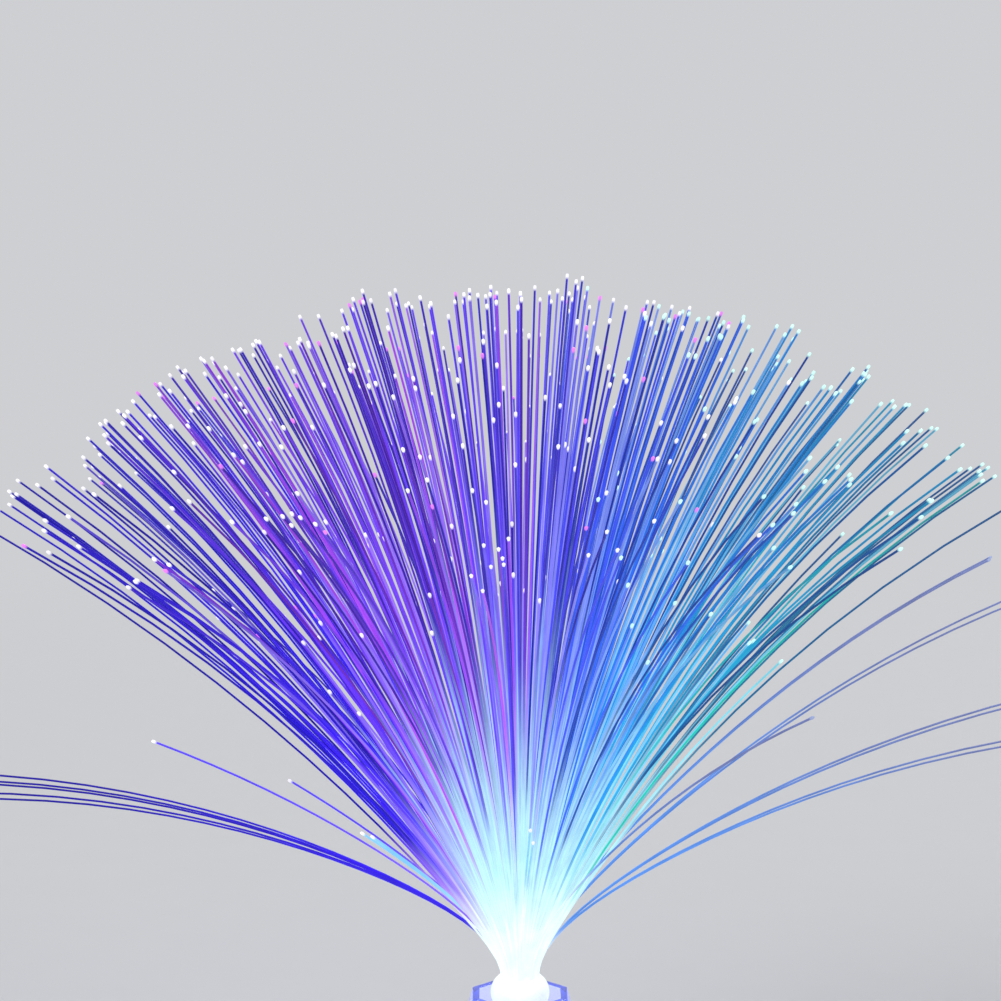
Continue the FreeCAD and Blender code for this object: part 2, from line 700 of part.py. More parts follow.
def make_circuit_board():
    """Eight-sided board with a tongue for the switch and slots for two solder tails.

    It rests on the cover's ribs, and the socket tube holds it down.
    """
    body = new_body("circuit_board")
    blank = sketch_on(body, "XY_Plane", "board_blank", "Fit.board_bottom")
    octagon(blank, "Dims.board_apothem")
    pad(body, blank, "Dims.board_thickness")
    tongue = sketch_on(body, "XY_Plane", "board_tongue", "Fit.board_bottom")
    half = "Dims.switch_length / 2 + Dims.slide_clearance"
    rectangle(tongue, f"-({half})", half, "Dims.board_apothem / 2", "Fit.switch_front")
    pad(body, tongue, "Dims.board_thickness")
    slots = sketch_on(body, "XY_Plane", "board_tail_slots", "Fit.board_top")
    for side in (1, -1):
        tail_hole(slots, side)
    pocket(body, slots, "Dims.board_thickness")
    return body


def make_leds():
    """Three surface-mounted diodes under the bundle's polished face, one for each colour."""
    leds = []
    for colour, angle in (("red", 0), ("green", 120), ("blue", 240)):
        x, y = polar("Dims.led_ring_radius", angle)
        low = (f"{x} - Dims.led_size / 2", f"{y} - Dims.led_size / 2", "Fit.board_top")
        leds.append(box(f"led_{colour}", low, ("Dims.led_size", "Dims.led_size", "Dims.led_height")))
    return leds


def make_control_chip():
    """Eight-pin controller that steps the colours."""
    low = ("Dims.chip_x - Dims.chip_width / 2", "Dims.chip_y - Dims.chip_length / 2",
           "Fit.board_top + Dims.chip_standoff")
    members = [box("chip_block", low, ("Dims.chip_width", "Dims.chip_length", "Dims.chip_height"))]
    size = ("Dims.lead_reach + Dims.lead_bite", "Dims.lead_width", "Dims.lead_height")
    starts = ("Dims.chip_width / 2 - Dims.lead_bite", "-Dims.chip_width / 2 - Dims.lead_reach")
    for row, start in enumerate(starts):
        for step in (-1.5, -0.5, 0.5, 1.5):
            low_y = f"Dims.chip_y + {step} * Dims.lead_pitch - Dims.lead_width / 2"
            low = (f"Dims.chip_x + {start}", low_y, "Fit.board_top")
            members.append(box(f"chip_lead_{row}_{len(members)}", low, size))
    return joined("control_chip", members)


def make_switch():
    """Board-mounted slide switch: a fixed case with a slot, and the slider that sticks out of the skirt."""
    half = "Dims.switch_length / 2"
    back = "Fit.switch_front - Dims.switch_depth"
    block = box("switch_block", (f"-{half}", back, "Fit.board_top"),
                ("Dims.switch_length", "Dims.switch_depth", "Dims.switch_height"))
    room = "(Dims.stem_size + Dims.switch_travel) / 2 + Dims.slide_clearance"
    tall = "Dims.stem_size / 2 + Dims.slide_clearance"
    depth = "Dims.switch_slot_depth"
    slot = box("switch_slot", (f"-({room})", f"Fit.switch_front - {depth}", f"Fit.stem_z - ({tall})"),
               (f"2 * ({room})", depth, f"2 * ({tall})"))
    case = cut("switch_case", block, slot)
    # the slider rests at its on end, half a travel towards +X
    middle = "Dims.switch_travel / 2"
    root = f"Fit.switch_front - {depth} + Dims.slide_clearance"
    stem = box("slider_stem", (f"{middle} - Dims.stem_size / 2", root, "Fit.stem_z - Dims.stem_size / 2"),
               ("Dims.stem_size", f"Fit.thumb_back + Dims.stem_bite - ({root})", "Dims.stem_size"))
    thumb_x = f"{middle} - Dims.thumb_length / 2"
    thumb_z = "Fit.stem_z - Dims.thumb_height / 2"
    thumb = box("slider_thumb", (thumb_x, "Fit.thumb_back", thumb_z),
                ("Dims.thumb_length", "Dims.thumb_thickness", "Dims.thumb_height"))
    ridges = []
    for step in range(4):
        low_x = f"{thumb_x} + {2 * step + 0.5} * Dims.thumb_length / 8"
        low = (low_x, "Fit.thumb_back + Dims.thumb_thickness - Dims.ridge_bite", thumb_z)
        size = ("Dims.thumb_length / 8", "Dims.ridge_height + Dims.ridge_bite", "Dims.thumb_height")
        ridges.append(box(f"slider_ridge_{step}", low, size))
    slider = joined("switch_slider", [stem, thumb, *ridges])
    return [case, slider]


# ---------------------------------------------------------------- socket tube and crown


def make_socket_tube():
    """Tube that stands on the board round the diodes, with a shoulder that stops it under the deck."""
    body = new_body("socket_tube")
    turn(body, [
        ("Fit.tube_bore", "Fit.board_top"),
        ("Fit.tube_radius + Dims.tube_shoulder", "Fit.board_top"),
        ("Fit.tube_radius + Dims.tube_shoulder", "Fit.deck_bottom"),
        ("Fit.tube_radius", "Fit.deck_bottom"),
        ("Fit.tube_radius", "Fit.tube_top"),
        ("Fit.tube_bore", "Fit.tube_top"),
    ])
    return body


def make_crown():
    """Clear faceted cup round the socket tube, open at both ends and glued to the deck."""
    body = new_body("crystal_crown")
    block = sketch_on(body, "XY_Plane", "crown_outline", "Dims.deck_height")
    octagon(block, "Dims.crown_waist_apothem")
    pad(body, block, "Fit.crown_mouth - Dims.deck_height")
    taper = "Dims.crown_waist_apothem - Dims.crown_mouth_apothem"
    side = "Fit.crown_mouth - Dims.deck_height - Dims.crown_foot_bevel - Dims.crown_waist_band"
    bevel(body, "crown_taper", "Fit.crown_mouth", side, taper)
    bevel(body, "crown_foot", "Dims.deck_height", "Dims.crown_foot_bevel")
    hollow(body, "crown_cavity", "Dims.crown_wall", ["Fit.crown_mouth", "Dims.deck_height"])
    return body


# ---------------------------------------------------------------- fibre head


COLLAR_BANDS = 4


def make_bead():
    """Ball-shaped collar in one with the sleeve that plugs into the tube, turned in narrow bands."""
    body = new_body("light_bead")
    span = "(Fit.bead_high_angle - Fit.bead_low_angle)"
    side = []
    for step in range(COLLAR_BANDS + 1):
        angle = f"Fit.bead_low_angle + {step / COLLAR_BANDS} * {span}"
        radius = f"Fit.bead_ring + Fit.bead_arc * cos({angle})"
        side.append((radius, f"Fit.bead_crest + Fit.bead_arc * sin({angle})"))
    turn(body, [
        ("Fit.bundle_bore", "Fit.bundle_face"),
        ("Fit.sleeve_radius", "Fit.bundle_face"),
        ("Fit.sleeve_radius", "Fit.tube_top"),
        *side,
        ("Fit.bundle_bore", "Dims.head_height"),
    ])
    return body


def make_potted_bundle():
    """Lower end of all the fibres, glued into one rod with a polished face over the diodes."""
    rod = cylinder("potted_bundle", "0", "0", "Fit.bundle_face", "Dims.bundle_radius",
                   "Fit.potting_top - Fit.bundle_face")
    return rod


# Share of the full length that a fibre has, taken in turn: the ends are cut a little uneven.
LENGTH_SHARES = (1.0, 0.97, 0.99, 0.98, 1.0, 0.965, 0.985)
GOLDEN_ANGLE = 180 * (3 - math.sqrt(5))

# Fibres that have come loose from the spray and droop: azimuth and tilt at the tip in degrees, and
# share of the full length.
STRAYS = (
    (180, 96, 1.0),
    (189, 79, 0.64),
    (169, 80, 0.44),
    (203, 74, 0.34),
    (0, 88, 1.0),
    (-11, 79, 0.98),
    (18, 74, 1.0),
    (27, 72, 1.0),
    (305, 70, 0.8),
    (272, 72, 0.44),
    (78, 84, 0.98),
    (128, 80, 0.94),
)

# A fibre is swept along straight steps that get longer towards the tip, where it bends less.
STEPS = 6
STRAY_STEPS = 10
STEP_GROWTH = 1.8
MITRED = 1
# A square section of the same area as the round fibre has sides this much of its radius.
SQUARE_SHARE = math.sqrt(math.pi)


def fibre_path(radial, tip_tilt, length, steps, bend_length, bend_share):
    """Points of one fibre in the XZ plane, from its place in the bundle's top to its tip.

    A share of the tilt comes in the first bend above the collar, and the rest is sag along the whole length.
    """
    point = Vector(radial, 0, fit.potting_top)
    points = [point, point + Vector(0, 0, fit.fibre_start)]
    free = length - fit.fibre_start
    marks = [free * (step / steps) ** STEP_GROWTH for step in range(steps + 1)]
    for start, end in zip(marks, marks[1:]):
        middle = (start + end) / 2
        bend = bend_share * (1 - math.exp(-middle / bend_length))
        sag = (1 - bend_share) * middle / dims.fibre_length
        tilt = math.radians(tip_tilt * (bend + sag))
        points.append(points[-1] + Vector(math.sin(tilt), 0, math.cos(tilt)) * (end - start))
    return points


def fibre(radial, azimuth, tip_tilt, length, *bends):
    """One fibre as a solid, and how far its tip leans to +X as seen from -Y, in degrees."""
    points = fibre_path(radial, tip_tilt, length, *bends)
    half = SQUARE_SHARE * dims.fibre_radius / 2
    corners = ((1, 1), (-1, 1), (-1, -1), (1, -1), (1, 1))
    section = Part.makePolygon([points[0] + Vector(half * x, half * y, 0) for x, y in corners])
    solid = Part.makePolygon(points).makePipeShell([section], True, False, MITRED).Solids[0]
    solid.rotate(Vector(0, 0, 0), Vector(0, 0, 1), azimuth)
    tip = points[-1]
    lean = math.degrees(math.atan2(tip.x * math.cos(math.radians(azimuth)), tip.z - dims.head_height))
    return solid, lean


# A node's name and the lean, in degrees, up to which its fibres belong to it.
LIGHT_GROUPS = (
    ("fibres_deep_blue", -27.0),
    ("fibres_violet", -9.0),
    ("fibres_indigo", 9.0),
    ("fibres_azure", 27.0),
    ("fibres_cyan", 90.0),
)


def make_fibres():
    """The spray: a sunflower-packed bundle whose fibres lean further out the further out they start."""
    groups = {name: [] for name, _ in LIGHT_GROUPS}
    count = int(dims.fibre_count)
    stray_ring = dims.bundle_radius - dims.stray_ring_inset
    field = stray_ring - dims.stray_gap
    cap = 1 - math.cos(math.radians(dims.fibre_spread))
    bends = (STEPS, dims.bend_length, dims.bend_share)
    for number in range(count):
        share = (number + 0.5) / count
        azimuth = number * GOLDEN_ANGLE
        steeper = 1 - dims.fibre_bias * math.cos(math.radians(azimuth))
        tilt = steeper * math.degrees(math.acos(1 - cap * share))
        length = dims.fibre_length * LENGTH_SHARES[number % len(LENGTH_SHARES)]
        solid, lean = fibre(field * math.sqrt(share), azimuth, tilt, length, *bends)
        name = next(name for name, most in LIGHT_GROUPS if lean <= most)
        groups[name].append(solid)
    made = [group(name, solids) for name, solids in groups.items()]
    strays = []
    stray_bends = (STRAY_STEPS, dims.stray_bend_length, dims.stray_bend_share)
    for azimuth, tilt, share in STRAYS:
        strays.append(fibre(stray_ring, azimuth, tilt, dims.fibre_length * share, *stray_bends)[0])
    made.append(group("fibres_stray", strays))
    return made


# ---------------------------------------------------------------- build, test and write


def main():
    parts = [make_upper_shell(), make_bottom_cover(), make_battery_door(), make_hinge_pin()]
    parts += [make_foot_ring(), make_housing_screws()]
    parts += make_cells() + make_contacts()
    parts += [make_circuit_board(), *make_leds(), make_control_chip()]
    parts += make_switch()
    parts += [make_socket_tube(), make_crown()]
    parts += [make_bead(), make_potted_bundle(), *make_fibres()]
    doc.recompute()
    failed = [o.Name for o in doc.Objects if {"Invalid", "Error"} & set(o.State)]
    if failed:
        raise ValueError(f"objects failed: {failed}")
    for part in parts:
        if part.Shape.isNull() or not part.Shape.isValid() or not part.Shape.Solids:
            raise ValueError(f"{part.Label} has no valid shape")
    os.makedirs("parts", exist_ok=True)
    for part in parts:
        part.Shape.exportStep(f"parts/{part.Label}.step")
    print(f"{len(parts)} parts written")


main()
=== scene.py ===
import logging
import math
import random
from dataclasses import dataclass
from enum import Enum

import bmesh
import bpy
from mathutils import Matrix, Vector


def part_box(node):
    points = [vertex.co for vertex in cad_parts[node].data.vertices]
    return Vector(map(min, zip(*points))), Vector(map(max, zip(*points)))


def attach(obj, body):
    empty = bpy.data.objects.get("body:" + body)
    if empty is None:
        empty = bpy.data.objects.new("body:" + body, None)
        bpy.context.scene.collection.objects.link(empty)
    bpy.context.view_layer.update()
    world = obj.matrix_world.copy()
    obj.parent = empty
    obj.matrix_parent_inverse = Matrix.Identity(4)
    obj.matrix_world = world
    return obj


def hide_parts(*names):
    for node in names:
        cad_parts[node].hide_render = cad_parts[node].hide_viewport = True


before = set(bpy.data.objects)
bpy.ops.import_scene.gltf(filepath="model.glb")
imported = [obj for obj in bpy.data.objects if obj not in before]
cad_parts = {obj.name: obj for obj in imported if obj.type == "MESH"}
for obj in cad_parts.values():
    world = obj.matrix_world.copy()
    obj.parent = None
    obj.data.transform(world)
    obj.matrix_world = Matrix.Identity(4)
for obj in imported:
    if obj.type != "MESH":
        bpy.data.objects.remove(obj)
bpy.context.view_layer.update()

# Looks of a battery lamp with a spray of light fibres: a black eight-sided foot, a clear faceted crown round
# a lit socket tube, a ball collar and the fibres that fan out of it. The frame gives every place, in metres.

LOG = logging.getLogger("fibre_lamp")
MM = 0.001
UP = Vector((0.0, 0.0, 1.0))
Colour = tuple[float, float, float]
Range = tuple[float, float]
Ring = tuple[list[bmesh.types.BMVert], list[bmesh.types.BMEdge]]
BLACK: Colour = (0.0, 0.0, 0.0)
WHITE: Colour = (1.0, 1.0, 1.0)
# the vertex attribute that carries the light's colour
GLOW = "glow"
# the display's colour curve: straight up to its toe, and a power above it
TOE = 0.04045
TOE_SLOPE = 12.92
CURVE_OFFSET = 0.055
CURVE_POWER = 2.4
FULL_BYTE = 255
ACRYLIC_IOR = 1.49


def linear(part: int) -> float:
    """One part of a display colour, from 0 to 255, in the linear light that shaders work in."""
    share = part / FULL_BYTE
    return share / TOE_SLOPE if share <= TOE else ((share + CURVE_OFFSET) / (1 + CURVE_OFFSET)) ** CURVE_POWER


def srgb(red: int, green: int, blue: int) -> Colour:
    """A display colour as a linear one."""
    return linear(red), linear(green), linear(blue)


def between(ends: Range, share: float) -> float:
    """The value that lies a share of the way from the first to the second."""
    return ends[0] + (ends[1] - ends[0]) * share


def mixed(first: Colour, second: Colour, share: float) -> Colour:
    """The colour that lies a share of the way from the first to the second."""
    return tuple(between(parts, share) for parts in zip(first, second))


def eased(value: float, low: float, high: float) -> float:
    """How far a value has come from low to high, from 0 to 1, with a soft start and end."""
    share = min(1.0, max(0.0, (value - low) / (high - low)))
    return share * share * (3 - 2 * share)


# ---------------------------------------------------------------- wiring of shader nodes


class Wiring:
    """Puts nodes into one node tree and joins them up."""

    def __init__(self, tree: bpy.types.NodeTree) -> None:
        """Takes over a tree, which it empties."""
        self.tree = tree
        tree.nodes.clear()

    def node(self, kind: str, sockets: dict[str, object] | None = None, **settings: object) -> bpy.types.Node:
        """Adds a node.

        Args:
            kind: Blender's name for the kind of node.
            sockets: values, or sockets to link from, by the name of the input.
            settings: properties of the node itself.

        Returns:
            The new node.
        """
        made = self.tree.nodes.new(kind)
        for name, setting in settings.items():
            setattr(made, name, setting)
        for name, source in (sockets or {}).items():
            self.feed(made, name, source)
        return made

    def feed(self, node: bpy.types.Node, name: str | int, source: object) -> None:
        """Sets an input to a value, or links it from another node's output.

        Args:
            node: the node that has the input.
            name: the input's name or number.
            source: the value or the output.
        """
        socket = node.inputs[name]
        if isinstance(source, bpy.types.NodeSocket):
            self.tree.links.new(source, socket)
        elif isinstance(source, tuple) and len(source) == 3 and socket.type == "RGBA":
            socket.default_value = (*source, 1.0)
        else:
            socket.default_value = source

    def math(self, operation: str, first: object, second: object) -> bpy.types.NodeSocket:
        """The outcome of one sum on two values or sockets."""
        return self.node("ShaderNodeMath", {0: first, 1: second}, operation=operation).outputs[0]

    def spread(self, value: object, low: float, high: float, to: Range = (0.0, 1.0)) -> bpy.types.NodeSocket:
        """A value moved from the range low to high into another, and held inside it."""
        sockets = {"Value": value, "From Min": low, "From Max": high, "To Min": to[0], "To Max": to[1]}
        return self.node("ShaderNodeMapRange", sockets).outputs["Result"]

    def blend(self, share: object, first: object, second: object) -> bpy.types.NodeSocket:
        """Two colours mixed by a share.

        Args:
            share: how much of the second there is.
            first: a colour or a socket.
            second: a colour or a socket.

        Returns:
            The mixed colour.
        """
        made = self.node("ShaderNodeMix", data_type="RGBA")
        for name, source in (("Factor", share), ("A", first), ("B", second)):
            place = next(i for i, socket in enumerate(made.inputs) if socket.name == name and socket.enabled)
            self.feed(made, place, source)
        return next(socket for socket in made.outputs if socket.enabled)

    def place(self, which: str = "Object") -> bpy.types.NodeSocket:
        """The point of the surface in the object's own coordinates, or its normal there."""
        return self.node("ShaderNodeTexCoord").outputs[which]

    def height(self, which: str = "Object") -> bpy.types.NodeSocket:
        """The upward part of the point, or of the normal."""
        return self.node("ShaderNodeSeparateXYZ", {0: self.place(which)}).outputs["Z"]

    def noise(self, scale: object, detail: float, rough: float = 0.5,
              place: bpy.types.NodeSocket | None = None) -> bpy.types.NodeSocket:
        """Cloudy values from 0 to 1, with features about 1 / scale metres across."""
        sockets = {"Vector": place or self.place(), "Scale": scale, "Detail": detail, "Roughness": rough}
        return self.node("ShaderNodeTexNoise", sockets).outputs["Fac"]

    def stretched(self, factors: tuple[float, float, float]) -> bpy.types.NodeSocket:
        """The object's coordinates, multiplied by a factor on each axis."""
        return self.node("ShaderNodeMapping", {"Vector": self.place(), "Scale": factors}).outputs[0]

    def ramp(self, value: object, stops: list[tuple[float, Colour]]) -> bpy.types.NodeSocket:
        """A colour that changes with a value.

        Args:
            value: the value, from 0 to 1.
            stops: each stop's position and colour.

        Returns:
            The colour.
        """
        made = self.node("ShaderNodeValToRGB", {"Fac": value})
        ends = made.color_ramp.elements
        for index, (position, colour) in enumerate(stops):
            stop = ends[index] if index < len(ends) else ends.new(position)
            stop.position = position
            stop.color = (*colour, 1.0)
        return made.outputs["Color"]

    def bump(self, height: object, depth: float) -> bpy.types.NodeSocket:
        """A normal that follows a height from 0 to 1, with a depth in metres."""
        return self.node("ShaderNodeBump", {"Height": height, "Distance": depth}).outputs["Normal"]


# ---------------------------------------------------------------- effects that several finishes share


class Effect(Enum):
    """The shared shader groups."""

    GRAIN = "moulded_grain"
    WEAR = "worn_edges"
    DUST = "settled_dust"
    SMUDGES = "hand_smudges"
    RISE = "light_by_height"
    STREAKS = "light_streaks"


class GroupWiring(Wiring):
    """Wires one shared group, with what it is given and what it gives at hand."""

    def __init__(self, effect: Effect, inputs: dict[str, float], outputs: tuple[str, ...]) -> None:
        """Makes the group with named sockets.

        Args:
            effect: which group it is.
            inputs: the inputs' names and default values.
            outputs: the outputs' names.
        """
        tree = bpy.data.node_groups.new(effect.value, "ShaderNodeTree")
        for name, default in inputs.items():
            socket = tree.interface.new_socket(name=name, in_out="INPUT", socket_type="NodeSocketFloat")
            socket.default_value = default
        for name in outputs:
            tree.interface.new_socket(name=name, in_out="OUTPUT", socket_type="NodeSocketFloat")
        super().__init__(tree)
        self.effect = effect
        self.given = self.node("NodeGroupInput").outputs
        self.result = self.node("NodeGroupOutput")

    def give(self, name: str, source: bpy.types.NodeSocket) -> None:
        """Feeds one of the group's outputs."""
        self.feed(self.result, name, source)

    def wander(self, patches: bpy.types.NodeSocket, low: object, high: object) -> bpy.types.NodeSocket:
        """A value that goes from low to high with patches from 0 to 1."""
        span = self.math("SUBTRACT", high, low)
        return self.math("ADD", low, self.math("MULTIPLY", patches, span))


class Effects:
    """Builds each shared shader group once."""

    # the scale of a mould's mottle beside its grain's
    MOTTLE_SHARE = 0.012

    def __init__(self) -> None:
        """Builds all the groups."""
        built = (self._grain(), self._wear(), self._dust(), self._smudges(), self._rise(), self._streaks())
        self.groups: dict[Effect, bpy.types.NodeTree] = {w.effect: w.tree for w in built}

    def _grain(self) -> GroupWiring:
        """Builds spark-eroded mould texture and the faint mottle that it gives the colour.

        Returns:
            The group's wiring.
        """
        w = GroupWiring(Effect.GRAIN, {"Scale": 2500.0}, ("Height", "Mottle"))
        scale = w.given["Scale"]
        w.give("Height", w.noise(scale=scale, detail=4.0, rough=0.6))
        w.give("Mottle", w.noise(scale=w.math("MULTIPLY", scale, self.MOTTLE_SHARE), detail=2.0))
        return w

    @staticmethod
    def _wear() -> GroupWiring:
        """Builds rubbed edges, found by how sharply the surface curves and broken up by noise.

        Returns:
            The group's wiring.
        """
        w = GroupWiring(Effect.WEAR, {"Amount": 0.5}, ("Mask",))
        sharp = w.spread(w.node("ShaderNodeNewGeometry").outputs["Pointiness"], low=0.52, high=0.62)
        rubs = w.spread(w.noise(scale=160.0, detail=4.0), low=0.42, high=0.62)
        w.give("Mask", w.math("MULTIPLY", w.math("MULTIPLY", sharp, rubs), w.given["Amount"]))
        return w

    @staticmethod
    def _dust() -> GroupWiring:
        """Builds fine dust on faces that look up, thicker in soft patches.

        Returns:
            The group's wiring.
        """
        w = GroupWiring(Effect.DUST, {"Amount": 0.2}, ("Mask",))
        upward = w.spread(w.height("Normal"), low=0.2, high=1.0)
        patches = w.spread(w.noise(scale=70.0, detail=5.0, rough=0.7), low=0.35, high=0.75)
        specks = w.spread(w.noise(scale=1800.0, detail=2.0), low=0.3, high=0.7, to=(0.4, 1.0))
        lying = w.math("MULTIPLY", w.math("MULTIPLY", upward, patches), specks)
        w.give("Mask", w.math("MULTIPLY", lying, w.given["Amount"]))
        return w

    @staticmethod
    def _smudges() -> GroupWiring:
        """Builds a roughness that wanders between two values, as handling leaves it.

        Returns:
            The group's wiring.
        """
        w = GroupWiring(Effect.SMUDGES, {"Low": 0.3, "High": 0.45}, ("Roughness",))
        patches = w.spread(w.noise(scale=55.0, detail=5.0, rough=0.65), low=0.35, high=0.68)
        w.give("Roughness", w.wander(patches, w.given["Low"], w.given["High"]))
        return w

    @staticmethod
    def _rise() -> GroupWiring:
        """Builds a measure of how far a point has come from one height to another.

        Returns:
            The group's wiring.
        """
        w = GroupWiring(Effect.RISE, {"Low": 0.0, "High": 0.1}, ("Share",))
        sockets = {"Value": w.height(), "From Min": w.given["Low"], "From Max": w.given["High"]}
        made = w.node("ShaderNodeMapRange", sockets, interpolation_type="SMOOTHSTEP")
        w.give("Share", made.outputs["Result"])
        return w

    @staticmethod
    def _streaks() -> GroupWiring:
        """Builds light that leaks more in some places than in others, from Dim to 1.

        Returns:
            The group's wiring.
        """
        w = GroupWiring(Effect.STREAKS, {"Scale": 90.0, "Dim": 0.8}, ("Strength",))
        patches = w.spread(w.noise(scale=w.given["Scale"], detail=3.0), low=0.35, high=0.62)
        w.give("Strength", w.wander(patches, w.given["Dim"], 1.0))
        return w


class MaterialWiring(Wiring):
    """Wires one material, with its shader, its output and the shared groups at hand."""

    def __init__(self, name: str, effects: Effects) -> None:
        """Starts the material with one shader.

        Args:
            name: the material's name.
            effects: the shared groups.
        """
        self.material = bpy.data.materials.new(name)
        self.material.use_nodes = True
        super().__init__(self.material.node_tree)
        self.groups = effects.groups
        self.shader = self.node("ShaderNodeBsdfPrincipled")
        self.output = self.node("ShaderNodeOutputMaterial", {"Surface": self.shader.outputs["BSDF"]})

    def put(self, effect: Effect, **values: float) -> bpy.types.bpy_prop_collection:
        """Places a shared group with values for its inputs, and returns its outputs."""
        sockets = {name.capitalize(): value for name, value in values.items()}
        return self.node("ShaderNodeGroup", sockets, node_tree=self.groups[effect]).outputs

    def smudged(self, roughness: Range) -> bpy.types.NodeSocket:
        """A roughness that wanders between two values."""
        return self.put(Effect.SMUDGES, low=roughness[0], high=roughness[1])["Roughness"]

    def leaking(self, glow: object, scale: float, dim: float) -> bpy.types.NodeSocket:
        """A glow that is a little dimmer in some places than in others."""
        leak = self.put(Effect.STREAKS, scale=scale, dim=dim)["Strength"]
        return self.blend(leak, BLACK, glow)


# ---------------------------------------------------------------- finishes


@dataclass(frozen=True)
class Finish:
    """A material made of shader nodes. Each kind of finish says what feeds its shader."""

    name: str

    def inputs(self, w: MaterialWiring) -> dict[str, object]:
        """The shader's inputs by name: values that are the same all over, or outputs that feed them."""
        raise NotImplementedError

    def material(self, effects: Effects) -> bpy.types.Material:
        """Builds the material.

        Args:
            effects: the shared groups.

        Returns:
            The new material.
        """
        w = MaterialWiring(self.name, effects)
        for name, source in self.inputs(w).items():
            w.feed(w.shader, name, source)
        return w.material


@dataclass(frozen=True)
class MouldedFinish(Finish):
    """Moulded plastic or rubber: fine grain, rubbed edges, handling marks and settled dust."""

    colour: Colour
    rubbed: Colour
    roughness: Range
    grain_scale: float = 2600.0
    grain_depth: float = 0.02 * MM
    mottle: float = 0.25
    wear: float = 0.5
    dust: float = 0.16
    dust_colour: Colour = (0.36, 0.35, 0.33)
    dust_roughness: float = 0.5

    def inputs(self, w: MaterialWiring) -> dict[str, object]:
        """Wires what varies.

        Args:
            w: the material's wiring.

        Returns:
            The shader's inputs.
        """
        grain = w.put(Effect.GRAIN, scale=self.grain_scale)
        wear = w.put(Effect.WEAR, amount=self.wear)["Mask"]
        dust = w.put(Effect.DUST, amount=self.dust)["Mask"]
        body = w.blend(grain["Mottle"], mixed(self.colour, BLACK, self.mottle), self.colour)
        dulled = w.math("MULTIPLY", dust, self.dust_roughness)
        return {
            "Base Color": w.blend(dust, w.blend(wear, body, self.rubbed), self.dust_colour),
            "Roughness": w.math("ADD", w.smudged(self.roughness), dulled),
            "Normal": w.bump(grain["Height"], self.grain_depth),
        }


@dataclass(frozen=True)
class MetalFinish(Finish):
    """Drawn or stamped metal with fine lines along one axis."""

    colour: Colour
    roughness: Range
    lines: tuple[float, float, float]
    line_scale: float = 900.0
    line_depth: float = 0.006 * MM
    tarnish: Colour = (0.2, 0.17, 0.13)
    tarnish_share: float = 0.35

    def inputs(self, w: MaterialWiring) -> dict[str, object]:
        """Wires what varies.

        Args:
            w: the material's wiring.

        Returns:
            The shader's inputs.
        """
        drawn = w.noise(scale=self.line_scale, detail=3.0, place=w.stretched(self.lines))
        tarnished = mixed(self.colour, self.tarnish, self.tarnish_share)
        patches = w.spread(w.noise(scale=240.0, detail=4.0), low=0.55, high=0.8)
        return {
            "Metallic": 1.0,
            "Base Color": w.blend(patches, w.blend(drawn, self.colour, tarnished), tarnished),
            "Roughness": w.smudged(self.roughness),
            "Normal": w.bump(drawn, self.line_depth),
        }


@dataclass(frozen=True)
class CellFinish(Finish):
    """Shrunk label of a battery: bare metal ends, a band at the plus end and a plain wrap between."""

    plus_side: float
    half_length: float
    wrap: Colour = srgb(38, 44, 58)
    band: Colour = srgb(178, 112, 48)
    metal: Colour = (0.62, 0.62, 0.64)
    scuffing: float = 0.12
    end_share: float = 0.035
    band_share: float = 0.24
    edge_share: float = 0.002
    roughness: Range = (0.22, 0.36)
    metallic: Range = (0.75, 0.55)
    crease_depth: float = 0.015 * MM

    def inputs(self, w: MaterialWiring) -> dict[str, object]:
        """Wires what varies.

        Args:
            w: the material's wiring.

        Returns:
            The shader's inputs.
        """
        along = w.node("ShaderNodeSeparateXYZ", {0: w.place()}).outputs["X"]
        share = w.spread(w.math("MULTIPLY", along, self.plus_side), -self.half_length, self.half_length)
        label_end = 1 - self.end_share
        band_start = 1 - self.band_share
        stops = [
            (0.0, self.metal),
            (self.end_share, self.metal),
            (self.end_share + self.edge_share, self.wrap),
            (band_start, mixed(self.wrap, self.metal, self.scuffing)),
            (band_start + self.edge_share, self.band),
            (label_end, self.band),
            (label_end + self.edge_share, self.metal),
        ]
        roughness = w.smudged(self.roughness)
        return {
            "Coat Weight": 0.3,
            "Coat Roughness": 0.1,
            "Base Color": w.ramp(share, stops),
            "Roughness": roughness,
            "Metallic": w.spread(roughness, low=0.2, high=0.4, to=self.metallic),
            "Normal": w.bump(w.noise(scale=400.0, detail=3.0), self.crease_depth),
        }


@dataclass(frozen=True)
class BoardFinish(Finish):
    """Solder mask over copper tracks, with the weave of the laminate under it."""

    mask: Colour = srgb(8, 92, 48)
    track: Colour = srgb(24, 128, 66)
    shadow: Colour = (0.0, 0.05, 0.02)
    track_scale: float = 230.0
    track_depth: float = 0.03 * MM
    roughness: Range = (0.3, 0.42)

    def inputs(self, w: MaterialWiring) -> dict[str, object]:
        """Wires what varies.

        Args:
            w: the material's wiring.

        Returns:
            The shader's inputs.
        """
        cells = w.node("ShaderNodeTexVoronoi", {"Vector": w.place(), "Scale": self.track_scale},
                       distance="CHEBYCHEV", feature="DISTANCE_TO_EDGE")
        tracks = w.spread(cells.outputs["Distance"], low=0.05, high=0.09)
        weave = w.noise(scale=1500.0, detail=2.0, place=w.stretched((1.0, 6.0, 1.0)))
        return {
            "Coat Weight": 0.4,
            "Coat Roughness": 0.2,
            "Base Color": w.blend(tracks, self.track, w.blend(weave, self.mask, self.shadow)),
            "Roughness": w.smudged(self.roughness),
            "Normal": w.bump(tracks, self.track_depth),
        }


